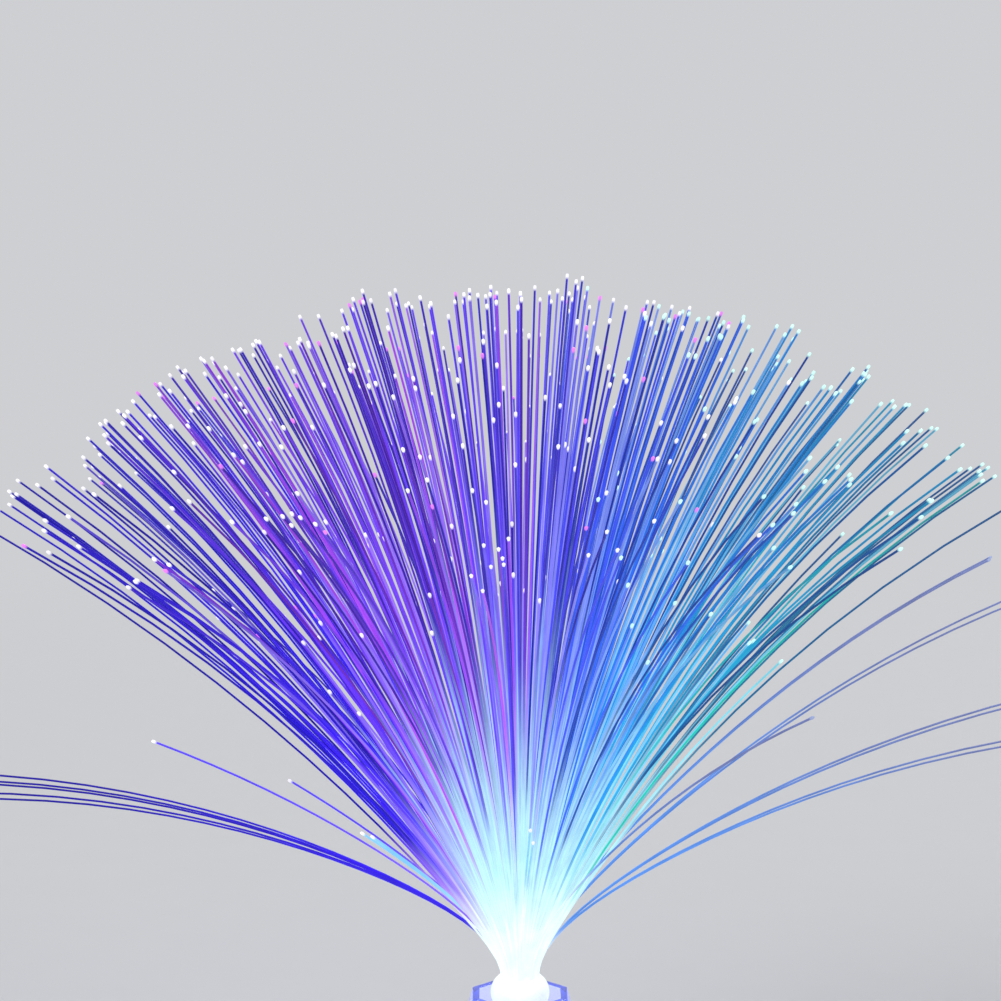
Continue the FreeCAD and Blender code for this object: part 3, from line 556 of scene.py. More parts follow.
@dataclass(frozen=True)
class LensFinish(Finish):
    """Window of a diode, clouded in patches and glowing in its own colour."""

    colour: Colour
    strength: float = 0.9
    paleness: float = 0.5
    cloudiness: float = 0.4
    leak_scale: float = 700.0
    dim: float = 0.6

    def inputs(self, w: MaterialWiring) -> dict[str, object]:
        """Wires what varies.

        Args:
            w: the material's wiring.

        Returns:
            The shader's inputs.
        """
        leak = w.put(Effect.STREAKS, scale=self.leak_scale, dim=self.dim)["Strength"]
        cloudy = mixed(self.colour, BLACK, self.cloudiness)
        return {
            "Roughness": 0.2,
            "Base Color": w.blend(leak, cloudy, mixed(self.colour, WHITE, self.paleness)),
            "Emission Color": w.blend(leak, BLACK, self.colour),
            "Emission Strength": self.strength,
        }


@dataclass(frozen=True)
class LitFinish(Finish):
    """Milky plastic with light inside, whose glow changes from a low height to a high one."""

    body: Colour
    low_glow: Colour
    high_glow: Colour
    heights: Range
    strength: float
    roughness: Range = (0.22, 0.34)
    ripple_depth: float = 0.02 * MM
    cloud: Colour = (0.55, 0.6, 0.7)
    cloudiness: float = 0.4

    def inputs(self, w: MaterialWiring) -> dict[str, object]:
        """Wires what varies.

        Args:
            w: the material's wiring.

        Returns:
            The shader's inputs.
        """
        rise = w.put(Effect.RISE, low=self.heights[0], high=self.heights[1])["Share"]
        patches = w.spread(w.noise(scale=120.0, detail=4.0), low=0.35, high=0.7)
        return {
            "IOR": ACRYLIC_IOR,
            "Subsurface Weight": 0.2,
            "Subsurface Scale": 2 * MM,
            "Base Color": w.blend(patches, self.body, mixed(self.body, self.cloud, self.cloudiness)),
            "Emission Color": w.leaking(w.blend(rise, self.low_glow, self.high_glow), scale=180.0, dim=0.86),
            "Emission Strength": self.strength,
            "Roughness": w.smudged(self.roughness),
            "Normal": w.bump(w.noise(scale=700.0, detail=2.0), self.ripple_depth),
        }


@dataclass(frozen=True)
class ClearFinish(Finish):
    """Clear acrylic with painted light: an emission that rises steeply towards its top, standing in for light
    caught from the lit tube and for glints at its mouth.
    """

    tint: Colour
    painted_mouth_glow: Colour
    heights: Range
    strength: float = 0.3
    rubbed: Colour = (0.8, 0.85, 0.9)
    wear: float = 0.35
    wear_roughness: float = 0.4
    dust: float = 0.1
    painted_glow_steepness: float = 4.0
    roughness: Range = (0.015, 0.06)
    ripple_depth: float = 0.03 * MM

    def inputs(self, w: MaterialWiring) -> dict[str, object]:
        """Wires what varies.

        Args:
            w: the material's wiring.

        Returns:
            The shader's inputs.
        """
        rise = w.put(Effect.RISE, low=self.heights[0], high=self.heights[1])["Share"]
        wear = w.put(Effect.WEAR, amount=self.wear)["Mask"]
        dust = w.put(Effect.DUST, amount=self.dust)["Mask"]
        dulled = w.math("ADD", dust, w.math("MULTIPLY", wear, self.wear_roughness))
        return {
            "IOR": ACRYLIC_IOR,
            "Transmission Weight": 1.0,
            "Base Color": w.blend(wear, self.tint, self.rubbed),
            # painted light and painted glints: the crown glows near its top though it is no lamp
            "Emission Color": w.blend(w.math("POWER", rise, self.painted_glow_steepness), BLACK, self.painted_mouth_glow),
            "Emission Strength": self.strength,
            "Roughness": w.math("ADD", w.smudged(self.roughness), dulled),
            "Normal": w.bump(w.noise(scale=60.0, detail=2.0), self.ripple_depth),
        }


@dataclass(frozen=True)
class BundleFinish(Finish):
    """Glued and polished fibre ends, each a bright dot in dull glue."""

    pitch: float
    light: Colour = srgb(226, 250, 255)
    glue: Colour = srgb(70, 90, 190)
    glue_dimming: float = 0.4
    glue_depth: float = 0.03 * MM
    strength: float = 0.8

    def inputs(self, w: MaterialWiring) -> dict[str, object]:
        """Wires what varies.

        Args:
            w: the material's wiring.

        Returns:
            The shader's inputs.
        """
        flat = w.stretched((1.0, 1.0, 0.02))
        ends = w.node("ShaderNodeTexVoronoi", {"Vector": flat, "Scale": 1 / self.pitch, "Randomness": 0.35})
        gaps = w.spread(ends.outputs["Distance"], low=0.3, high=0.46)
        lit = w.blend(gaps, self.light, mixed(self.glue, BLACK, self.glue_dimming))
        return {
            "Roughness": 0.12,
            "Base Color": w.blend(gaps, self.light, self.glue),
            "Emission Color": w.leaking(lit, scale=300.0, dim=0.8),
            "Emission Strength": self.strength,
            "Normal": w.bump(gaps, -self.glue_depth),
        }


@dataclass(frozen=True)
class StrandFinish(Finish):
    """Side-glowing light guide, in the colour that each strand carries along its length, a share of which is
    also painted into its base colour.
    """

    leak_scale: float
    dim: float = 0.8
    strength: float = 1.0
    glow_in_base_share: float = 0.3

    def inputs(self, w: MaterialWiring) -> dict[str, object]:
        """Wires what varies.

        Args:
            w: the material's wiring.

        Returns:
            The shader's inputs.
        """
        glow = w.node("ShaderNodeAttribute", attribute_name=GLOW).outputs["Color"]
        return {
            "Roughness": 0.24,
            "Coat Weight": 0.1,
            "Coat Roughness": 0.1,
            "Specular IOR Level": 0.25,
            # painted light: the base colour is a share of the strand's own glow, so the studio lamps add to
            # its light
            "Base Color": w.blend(self.glow_in_base_share, BLACK, glow),
            "Emission Color": w.leaking(glow, self.leak_scale, self.dim),
            "Emission Strength": self.strength,
        }


@dataclass(frozen=True)
class PaperFinish(Finish):
    """Plain seamless paper of the stage, lit evenly beyond the lamp's shadow."""

    colour: Colour
    mottle: float = 0.02
    roughness: Range = (0.85, 0.95)
    shadow_reach: float = 0.45
    even_reach: float = 1.5

    def inputs(self, w: MaterialWiring) -> dict[str, object]:
        """Wires what varies, and even light that takes the shader's place far from the lamp.

        Args:
            w: the material's wiring.

        Returns:
            The shader's inputs.
        """
        reach = w.node("ShaderNodeVectorMath", {0: w.place()}, operation="LENGTH").outputs["Value"]
        far = w.spread(reach, low=self.shadow_reach, high=self.even_reach)
        ray = w.node("ShaderNodeLightPath").outputs
        bounced = w.math("MAXIMUM", ray["Is Glossy Ray"], ray["Is Transmission Ray"])
        share = w.math("MULTIPLY", far, w.math("MAXIMUM", ray["Is Camera Ray"], bounced))
        plain = w.node("ShaderNodeEmission", {"Color": self.colour, "Strength": 1.0}).outputs[0]
        mix = w.node("ShaderNodeMixShader", {0: share, 1: w.shader.outputs["BSDF"], 2: plain})
        w.feed(w.output, "Surface", mix.outputs[0])
        pulp = w.noise(scale=30.0, detail=4.0)
        return {
            "Specular IOR Level": 0.1,
            "Base Color": w.blend(pulp, mixed(self.colour, BLACK, self.mottle), self.colour),
            "Roughness": w.smudged(self.roughness),
        }


# ---------------------------------------------------------------- making pieces


def dress(node: str, material: bpy.types.Material) -> None:
    """Gives a node of the frame its finish.

    Args:
        node: the node's name.
        material: its finish.
    """
    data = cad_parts[node].data
    data.materials.clear()
    data.materials.append(material)
    LOG.info("node %s: finish %s", node, material.name)


def shown(name: str, shape: bmesh.types.BMesh, material: bpy.types.Material) -> bpy.types.Object:
    """Turns a finished bmesh into an object of the scene.

    Args:
        name: the object's name.
        shape: the bmesh, which is freed.
        material: the object's finish.

    Returns:
        The new object, with all its faces shaded smooth.
    """
    for face in shape.faces:
        face.smooth = True
    mesh = bpy.data.meshes.new(name)
    shape.to_mesh(mesh)
    shape.free()
    mesh.materials.append(material)
    made = bpy.data.objects.new(name, mesh)
    bpy.context.scene.collection.objects.link(made)
    return made


@dataclass(frozen=True)
class Piece:
    """What a new mesh is to the lamp: its name, body, record slot and the node that it stands for."""

    name: str
    body: str
    slot: str
    node: str

    def make(self, shape: bmesh.types.BMesh, material: bpy.types.Material) -> bpy.types.Object:
        """Turns a bmesh into the piece and ties it to the frame.

        Args:
            shape: the finished bmesh, which is freed.
            material: the piece's finish.

        Returns:
            The new object.
        """
        made = shown(self.name, shape, material)
        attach(made, self.body)
        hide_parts(self.node)
        LOG.info("piece %s: %d faces on %s", self.name, len(made.data.polygons), self.body)
        return made


def round_edges(shape: bmesh.types.BMesh, edges: list[bmesh.types.BMEdge], radius: float) -> None:
    """Rounds some edges of a shape in two segments."""
    bmesh.ops.bevel(shape, geom=edges, affect="EDGES", offset=radius, offset_type="OFFSET",
                    segments=2, profile=0.5, material=-1, clamp_overlap=True)


@dataclass(frozen=True)
class Moulding:
    """A node of the frame with small roundings on its edges."""

    piece: Piece
    edge_radius: float
    sharpest: float = math.radians(20)
    join_distance: float = 0.002 * MM
    flat_angle: float = math.radians(0.5)
    crease_angle: float = math.radians(50)

    def build(self, material: bpy.types.Material) -> None:
        """Stands the rounded copy in the node's place, with flat faces kept flat between its edges.

        Args:
            material: its finish.
        """
        made = self.piece.make(self.shape(), material)
        made.data.set_sharp_from_angle(angle=self.crease_angle)
        weighted = made.modifiers.new("even_normals", "WEIGHTED_NORMAL")
        weighted.keep_sharp = True

    def shape(self) -> bmesh.types.BMesh:
        """Joins up a copy of the node's mesh and rounds its edges.

        Returns:
            The new bmesh.
        """
        shape = bmesh.new()
        shape.from_mesh(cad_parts[self.piece.node].data)
        bmesh.ops.remove_doubles(shape, verts=shape.verts, dist=self.join_distance)
        bmesh.ops.dissolve_limit(shape, angle_limit=self.flat_angle, verts=shape.verts, edges=shape.edges)
        bmesh.ops.recalc_face_normals(shape, faces=shape.faces)
        edges = [e for e in shape.edges if e.is_manifold and e.calc_face_angle(0.0) > self.sharpest]
        round_edges(shape, edges, self.edge_radius)
        return shape


class Lathe:
    """Draws a profile from point to point in the XZ plane, and turns it round the Z axis."""

    def __init__(self, start: Vector) -> None:
        """Starts the profile at a point."""
        self.shape = bmesh.new()
        self.first = self.last = self.shape.verts.new(start)

    def line_to(self, place: Vector) -> None:
        """Draws the profile on in a straight line.

        Args:
            place: where the line ends.
        """
        made = bmesh.ops.extrude_vert_indiv(self.shape, verts=[self.last])["verts"][0]
        bmesh.ops.translate(self.shape, verts=[made], vec=place - self.last.co)
        self.last = made

    def arc_about(self, centre: Vector, angle: float, steps: int) -> None:
        """Draws the profile on in an arc, outwards and up.

        Args:
            centre: the arc's centre.
            angle: how far it turns.
            steps: how many straight steps it has.
        """
        swept = bmesh.ops.spin(self.shape, geom=[self.last], cent=centre, axis=(0.0, -1.0, 0.0),
                               dvec=(0.0, 0.0, 0.0), angle=angle, steps=steps, use_duplicate=False)
        self.last = next(part for part in swept["geom_last"] if isinstance(part, bmesh.types.BMVert))

    def close(self) -> None:
        """Joins the profile's end to its start."""
        self.shape.edges.new((self.last, self.first))

    def turned(self, steps: int, join: float) -> bmesh.types.BMesh:
        """Turns the profile all the way round.

        Args:
            steps: how many flats the turned shape has.
            join: points nearer to each other than this become one.

        Returns:
            The turned bmesh.
        """
        shape = self.shape
        bmesh.ops.spin(shape, geom=shape.verts[:] + shape.edges[:], cent=(0.0, 0.0, 0.0), axis=UP,
                       dvec=(0.0, 0.0, 0.0), angle=math.tau, steps=steps, use_merge=True, use_duplicate=False)
        bmesh.ops.remove_doubles(shape, verts=shape.verts, dist=join)
        bmesh.ops.recalc_face_normals(shape, faces=shape.faces)
        return shape


# ---------------------------------------------------------------- sub-assemblies


@dataclass
class Foot:
    """Housing, cover, battery door, rubber ring and the fittings that close them."""

    shell_edge: float = 0.5 * MM
    cover_edge: float = 0.2 * MM
    door_edge: float = 0.2 * MM
    ring_edge: float = 0.35 * MM
    black: MouldedFinish = MouldedFinish(
        name="black_abs", colour=srgb(24, 24, 27), rubbed=srgb(78, 78, 84), roughness=(0.3, 0.44))
    inner_black: MouldedFinish = MouldedFinish(
        name="black_abs_inner", colour=srgb(28, 28, 31), rubbed=srgb(60, 60, 64), roughness=(0.42, 0.55))
    rubber: MouldedFinish = MouldedFinish(
        name="rubber", colour=srgb(38, 38, 38), rubbed=srgb(66, 66, 64), roughness=(0.75, 0.9),
        grain_scale=1500.0, grain_depth=0.05 * MM)
    steel: MetalFinish = MetalFinish(
        name="steel", colour=(0.62, 0.62, 0.64), roughness=(0.25, 0.4), lines=(1.0, 12.0, 1.0))

    def build(self, effects: Effects) -> None:
        """Builds the mouldings and dresses the steel parts.

        Args:
            effects: the shared groups.
        """
        black = self.black.material(effects)
        inner = self.inner_black.material(effects)
        rubber = self.rubber.material(effects)
        housing = Piece("foot_housing", "base", "black_abs", "upper_shell")
        Moulding(housing, self.shell_edge).build(black)
        cover = Piece("foot_cover", "base", "black_abs", "bottom_cover")
        Moulding(cover, self.cover_edge).build(inner)
        hatch = Piece("battery_hatch", "battery_door", "black_abs", "battery_door")
        Moulding(hatch, self.door_edge).build(inner)
        ring = Piece("rubber_base_ring", "base", "rubber", "foot_ring")
        Moulding(ring, self.ring_edge).build(rubber)
        steel = self.steel.material(effects)
        for node in ("door_hinge_pin", "housing_screws"):
            dress(node, steel)


@dataclass
class Electrics:
    """Cells, contacts, board, diodes, controller and switch."""

    cells: int = 3
    slider_edge: float = 0.25 * MM
    contact: MetalFinish = MetalFinish(
        name="contact", colour=(0.74, 0.72, 0.66), roughness=(0.2, 0.34), lines=(1.0, 1.0, 10.0))
    board: BoardFinish = BoardFinish("board")
    chip: MouldedFinish = MouldedFinish(
        name="chip", colour=srgb(34, 34, 36), rubbed=srgb(90, 90, 92), roughness=(0.5, 0.65),
        grain_scale=3200.0)
    grey: MouldedFinish = MouldedFinish(
        name="grey_abs", colour=srgb(156, 157, 162), rubbed=srgb(196, 196, 200), roughness=(0.36, 0.5))
    lenses: tuple[LensFinish, ...] = (
        LensFinish("led_red", (0.9, 0.1, 0.1)),
        LensFinish("led_green", (0.1, 0.9, 0.2)),
        LensFinish("led_blue", (0.1, 0.2, 1.0)),
    )

    def build(self, effects: Effects) -> None:
        """Dresses the bought-in parts and rounds the switch's slider.

        Args:
            effects: the shared groups.
        """
        for number in range(1, self.cells + 1):
            self.dress_cell(number, effects)
        contact = self.contact.material(effects)
        for node in ("contact_positive", "contact_negative", "contact_bridge_left", "contact_bridge_right"):
            dress(node, contact)
        dress("circuit_board", self.board.material(effects))
        for lens in self.lenses:
            dress(lens.name, lens.material(effects))
        chip = self.chip.material(effects)
        for node in ("control_chip", "switch_case"):
            dress(node, chip)
        knob = Piece("switch_knob", "switch", "grey_abs", "switch_slider")
        Moulding(knob, self.slider_edge).build(self.grey.material(effects))

    @staticmethod
    def dress_cell(number: int, effects: Effects) -> None:
        """Gives a cell its label, whose plus end is the one that reaches out further.

        Args:
            number: which cell, from 1.
            effects: the shared groups.
        """
        low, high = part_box(f"battery_{number}")
        plus_side = 1.0 if high.x > -low.x else -1.0
        label = CellFinish(f"cell_{number}", plus_side=plus_side, half_length=max(high.x, -low.x))
        dress(f"battery_{number}", label.material(effects))


@dataclass
class CrownAndTube:
    """Clear faceted crown on the deck, and the lit socket tube inside it."""

    crown_edge: float = 0.35 * MM
    tube_edge: float = 0.3 * MM

    def build(self, effects: Effects) -> None:
        """Builds both mouldings.

        Args:
            effects: the shared groups.
        """
        low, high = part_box("crystal_crown")
        heights = (low.z, high.z)
        # the crown's blue glow near its top is painted light, for light caught from the tube and glints at
        # the mouth
        clear = ClearFinish(
            name="clear_acrylic", tint=(0.97, 0.985, 1.0), painted_mouth_glow=srgb(90, 110, 255), heights=heights)
        crown = Piece("faceted_crown", "base", "clear_acrylic", "crystal_crown")
        Moulding(crown, self.crown_edge).build(clear.material(effects))
        milky = LitFinish(
            name="milky_tube", body=(0.8, 0.84, 0.9), low_glow=srgb(96, 120, 255),
            high_glow=srgb(196, 226, 255), heights=heights, strength=0.5)
        tube = Piece("lit_socket_tube", "base", "milky_tube", "socket_tube")
        Moulding(tube, self.tube_edge).build(milky.material(effects))


@dataclass
class BallCollar:
    """Ball-shaped collar in one with its sleeve, turned from one profile."""

    glue_gap: float = 0.05 * MM
    sleeve_wall: float = 1.0 * MM
    plug_clearance: float = 0.1 * MM
    tube_wall: float = 1.5 * MM
    lip: float = 0.4 * MM
    crest_drop: float = 5.6 * MM
    ball_height: float = 15.0 * MM
    arc_steps: int = 20
    turn_steps: int = 72
    mouth_round: float = 0.15 * MM
    mouth_angle: float = math.radians(20)
    crease_angle: float = math.radians(40)
    join_distance: float = 0.001 * MM

    def build(self, effects: Effects) -> None:
        """Builds the collar and dresses the glued bundle in it.

        Args:
            effects: the shared groups.
        """
        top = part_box("light_bead")[1].z
        finish = LitFinish(
            name="lit_collar", body=(0.86, 0.93, 0.96), low_glow=srgb(176, 190, 255),
            high_glow=srgb(238, 252, 255), heights=(top - self.ball_height, top - self.crest_drop),
            strength=0.46, roughness=(0.14, 0.24), ripple_depth=0.01 * MM)
        piece = Piece("ball_collar", "fibre_head", "lit_collar", "light_bead")
        made = piece.make(self.shape(), finish.material(effects))
        made.data.set_sharp_from_angle(angle=self.crease_angle)
        bundle = BundleFinish("glued_bundle", pitch=2 * Spray.fibre_radius)
        dress("potted_bundle", bundle.material(effects))

    def shape(self) -> bmesh.types.BMesh:
        """Turns the collar: up outside the sleeve, out over the tube's rim, round the ball and down the bore.

        Returns:
            The closed bmesh, with a small rounding at the mouth.
        """
        low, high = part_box("light_bead")
        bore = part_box("potted_bundle")[1].x + self.glue_gap
        sleeve = bore + self.sleeve_wall
        seat = sleeve + self.plug_clearance + self.tube_wall
        bulge = high.x - bore - self.lip
        arc = (self.crest_drop ** 2 + bulge ** 2) / (2 * bulge)
        centre = Vector((high.x - arc, 0.0, high.z - self.crest_drop))
        low_angle = -math.acos((seat - centre.x) / arc)
        high_angle = math.asin(self.crest_drop / arc)
        lathe = Lathe(Vector((bore, 0.0, low.z)))
        lathe.line_to(Vector((sleeve, 0.0, low.z)))
        lathe.line_to(Vector((sleeve, 0.0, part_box("socket_tube")[1].z)))
        lathe.line_to(centre + Vector((math.cos(low_angle), 0.0, math.sin(low_angle))) * arc)
        lathe.arc_about(centre, high_angle - low_angle, self.arc_steps)
        lathe.line_to(Vector((bore, 0.0, high.z)))
        lathe.close()
        shape = lathe.turned(self.turn_steps, self.join_distance)
        mouth = [e for e in shape.edges if all(abs(v.co.z - high.z) < self.join_distance for v in e.verts)]
        rims = [e for e in mouth if e.calc_face_angle(0.0) > self.mouth_angle]
        round_edges(shape, rims, self.mouth_round)
        return shape


# ---------------------------------------------------------------- the light in the spray


class StrayTone(Enum):
    """How a loose strand is lit."""

    DEEP = "deep blue"
    VIOLET = "violet"
    PALE = "pale"
    DIM = "dim blue-grey"


@dataclass(frozen=True)
class Strand:
    """One light guide: where it starts, how it leans in degrees, and how it is lit."""

    start_radius: float
    azimuth: float
    tip_tilt: float
    length: float
    shade: float
    swing: float = 0.0
    tone: StrayTone | None = None


class Palette:
    """Colours of the light over the spray."""

    # by how far a strand's tip leans to the right, in degrees
    LEANS: tuple[tuple[float, Colour], ...] = (
        (-58.0, srgb(22, 8, 168)),
        (-44.0, srgb(34, 16, 214)),
        (-33.0, srgb(66, 34, 246)),
        (-22.0, srgb(138, 74, 255)),
        (-10.0, srgb(112, 70, 255)),
        (4.0, srgb(80, 74, 255)),
        (16.0, srgb(46, 110, 248)),
        (28.0, srgb(36, 152, 232)),
        (40.0, srgb(38, 190, 206)),
        (58.0, srgb(40, 148, 162)),
    )
    PINK: Colour = srgb(204, 84, 248)
    SEA_GREEN: Colour = srgb(34, 204, 172)
    PALE_VIOLET: Colour = srgb(168, 140, 255)
    PALE_CYAN: Colour = srgb(150, 232, 255)
    # DEEP and DEEP_TEAL colour the dark strands, painted shade for the gaps between strands; every strand's
    # far end also wanes towards them, and strays deepen towards DEEP
    DEEP: Colour = srgb(22, 10, 140)
    DEEP_TEAL: Colour = srgb(18, 52, 120)
    NECK: Colour = srgb(236, 255, 255)
    CORE: Colour = srgb(186, 234, 246)
    EDGE: Colour = srgb(178, 84, 255)
    GLINT: Colour = srgb(248, 246, 255)
    GLINT_PINK: Colour = srgb(232, 128, 246)
    GLINT_CYAN: Colour = srgb(206, 255, 246)
    GLINT_DULL: Colour = srgb(150, 164, 206)
    # the light of a loose strand beside the collar and at its tip
    LOOSE: dict[StrayTone, tuple[Colour, Colour]] = {
        StrayTone.DEEP: (srgb(58, 36, 236), srgb(26, 14, 150)),
        StrayTone.VIOLET: (srgb(136, 104, 255), srgb(92, 72, 240)),
        StrayTone.PALE: (srgb(176, 238, 255), srgb(132, 204, 255)),
        StrayTone.DIM: (srgb(92, 150, 236), srgb(104, 116, 168)),
    }

    @classmethod
    def by_lean(cls, lean: float) -> Colour:
        """Looks up the light's colour.

        Args:
            lean: how far the tip leans to the right, in degrees.

        Returns:
            The colour there, mixed from the two stops beside it.
        """
        for (low, first), (high, second) in zip(cls.LEANS, cls.LEANS[1:]):
            if lean <= high:
                return mixed(first, second, max(0.0, (lean - low) / (high - low)))
        return cls.LEANS[-1][1]


@dataclass(frozen=True)
class Glow:
    """The light along one strand. A pair says where a change of colour starts and where it ends."""

    core: Colour
    neck_end: Range
    own: Colour
    waned: Colour
    waning: Range
    own_start: Range
    glint: Colour
    glint_start: float

    def at(self, length: float) -> Colour:
        """Works out the colour at one place.

        Args:
            length: how far along the strand it lies, from the root.

        Returns:
            The colour: the collar's white, the core's, the strand's own, or the tip's.
        """
        if length > self.glint_start:
            return self.glint
        flooded = mixed(Palette.NECK, self.core, eased(length, *self.neck_end))
        own = mixed(self.own, self.waned, eased(length, *self.waning))
        return mixed(flooded, own, eased(length, *self.own_start))


@dataclass
class SprayLight:
    """Works out the light along each strand.

    Leans are degrees to the right, and a shade is a strand's own draw from 0 to 1. Two values are the ends of
    a draw or of a soft change, or they hold for the middle of the spray and for its outside.
    """

    draw: random.Random
    full_length: float
    lean_scatter: float = 4.0
    pink_leans: Range = (-33.0, 2.0)
    pink_chance: float = 0.26
    pink_share: Range = (0.35, 0.85)
    green_shades: Range = (0.44, 0.6)
    green_leans: Range = (14.0, 40.0)
    green_share: float = 0.8
    right_leans: Range = (-5.0, 30.0)
    # strands whose shade is below this are darkened: painted shade that stands in for the dark gaps between
    # strands
    gap_shade_below: float = 0.36
    gap_shade_share: Range = (0.4, 0.9)
    short_limit: float = 0.88
    pale_above_if_short: float = 0.4
    pale_above: Range = (0.76, 0.9)
    fewer_pale_to_left: Range = (15.0, 40.0)
    pale_share: Range = (0.3, 0.8)
    outside_lean: float = 48.0
    left_edge: Range = (24.0, 42.0)
    left_edge_share: Range = (0.5, 1.0)
    neck_end: Range = (16.0 * MM, 46.0 * MM)
    own_start: Range = (36.0 * MM, 21.0 * MM)
    own_full: Range = (66.0 * MM, 172.0 * MM)
    own_full_share: Range = (1.0, 0.75)
    own_full_left: float = 68.0 * MM
    own_full_left_share: Range = (0.6, 1.0)
    gap_shade_delay: float = 16.0 * MM
    waning: Range = (0.35, 0.95)
    waning_share: Range = (0.35, 0.65)
    glint_length: float = 1.6 * MM
    pink_glint_chance: float = 0.12
    pink_glint_most_lean: float = 25.0
    cyan_glint_lean: float = 12.0
    cyan_glint_scatter: float = 20.0
    stray_deepening: float = 0.3
    stray_front: Range = (0.3, 0.9)
    stray_start: Range = (5.0 * MM, 25.0 * MM)
    stray_full: Range = (26.0 * MM, 76.0 * MM)
    stray_change: Range = (0.2, 0.8)

    def own_colour(self, strand: Strand, lean: float, dark: Colour) -> Colour:
        """Draws the colour that a strand has once the collar's white has left it.

        Args:
            strand: the strand.
            lean: its lean.
            dark: the colour of the dark strands there, painted shade that stands in for the gaps between
                strands.

        Returns:
            The colour.
        """
        draw, shade = self.draw, strand.shade
        own = Palette.by_lean(lean + draw.gauss(0.0, self.lean_scatter))
        if self.pink_leans[0] < lean < self.pink_leans[1] and draw.random() < self.pink_chance:
            own = mixed(own, Palette.PINK, draw.uniform(*self.pink_share))
        if self.green_shades[0] < shade < self.green_shades[1]:
            own = mixed(own, Palette.SEA_GREEN, self.green_share * eased(lean, *self.green_leans))
        # painted shade: these dark strands stand in for the dark gaps between strands
        if shade < self.gap_shade_below:
            own = mixed(own, dark, draw.uniform(*self.gap_shade_share))
        short = strand.length < self.short_limit * self.full_length
        pale_above = between(self.pale_above, eased(-lean, *self.fewer_pale_to_left))
        if shade > (self.pale_above_if_short if short else pale_above):
            pale = mixed(Palette.PALE_VIOLET, Palette.PALE_CYAN, eased(lean, *self.right_leans))
            own = mixed(own, pale, draw.uniform(*self.pale_share))
        return own

    def along(self, strand: Strand, lean: float) -> Glow:
        """Works out the light along a strand of the spray.

        Args:
            strand: the strand.
            lean: its lean.

        Returns:
            Its light.
        """
        draw = self.draw
        # dark: painted shade for the gaps between strands, and also the dim colour that every strand's far
        # end wanes towards
        dark = mixed(Palette.DEEP, Palette.DEEP_TEAL, eased(lean, *self.right_leans))
        own = self.own_colour(strand, lean, dark)
        outside = min(1.0, abs(lean) / self.outside_lean)
        left_edge = eased(-lean, *self.left_edge)
        # the painted-shade strands keep the collar's light a little longer before they darken
        late = self.gap_shade_delay if strand.shade < self.gap_shade_below else 0.0
        full = between(self.own_full_share, outside) * draw.uniform(*self.own_full) + late
        full += (self.own_full_left - full) * left_edge * draw.uniform(*self.own_full_left_share)
        return Glow(
            core=mixed(Palette.CORE, Palette.EDGE, left_edge * draw.uniform(*self.left_edge_share)),
            neck_end=self.neck_end,
            own=own,
            waned=mixed(own, dark, between(self.waning_share, outside)),
            waning=tuple(share * self.full_length for share in self.waning),
            own_start=(between(self.own_start, outside) + late, full),
            glint=self.glint(lean),
            glint_start=strand.length - self.glint_length,
        )

    def glint(self, lean: float) -> Colour:
        """Draws the colour of one tip.

        Args:
            lean: its strand's lean.

        Returns:
            The colour.
        """
        chance = self.draw.random()
        if chance < self.pink_glint_chance and lean < self.pink_glint_most_lean:
            return Palette.GLINT_PINK
        cyan_lean = self.cyan_glint_lean + self.cyan_glint_scatter * (chance - 0.5)
        return Palette.GLINT_CYAN if lean > cyan_lean else Palette.GLINT

    def along_stray(self, strand: Strand) -> Glow:
        """Works out the light along a stray, in the colours of its tone.

        Args:
            strand: the stray.

        Returns:
            Its light.
        """
        beside, tip = Palette.LOOSE[strand.tone]
        front = eased(-math.sin(math.radians(strand.azimuth)), *self.stray_front)
        return Glow(
            core=Palette.NECK,
            neck_end=self.neck_end,
            own=mixed(beside, Palette.DEEP, self.stray_deepening * strand.shade),
            waned=tip,
            waning=tuple(share * strand.length for share in self.stray_change),
            own_start=(between(self.stray_start, front), between(self.stray_full, front)),
            glint=Palette.GLINT_DULL if strand.tone is StrayTone.DIM else Palette.GLINT,
            glint_start=strand.length - self.glint_length,
        )


# ---------------------------------------------------------------- the spray


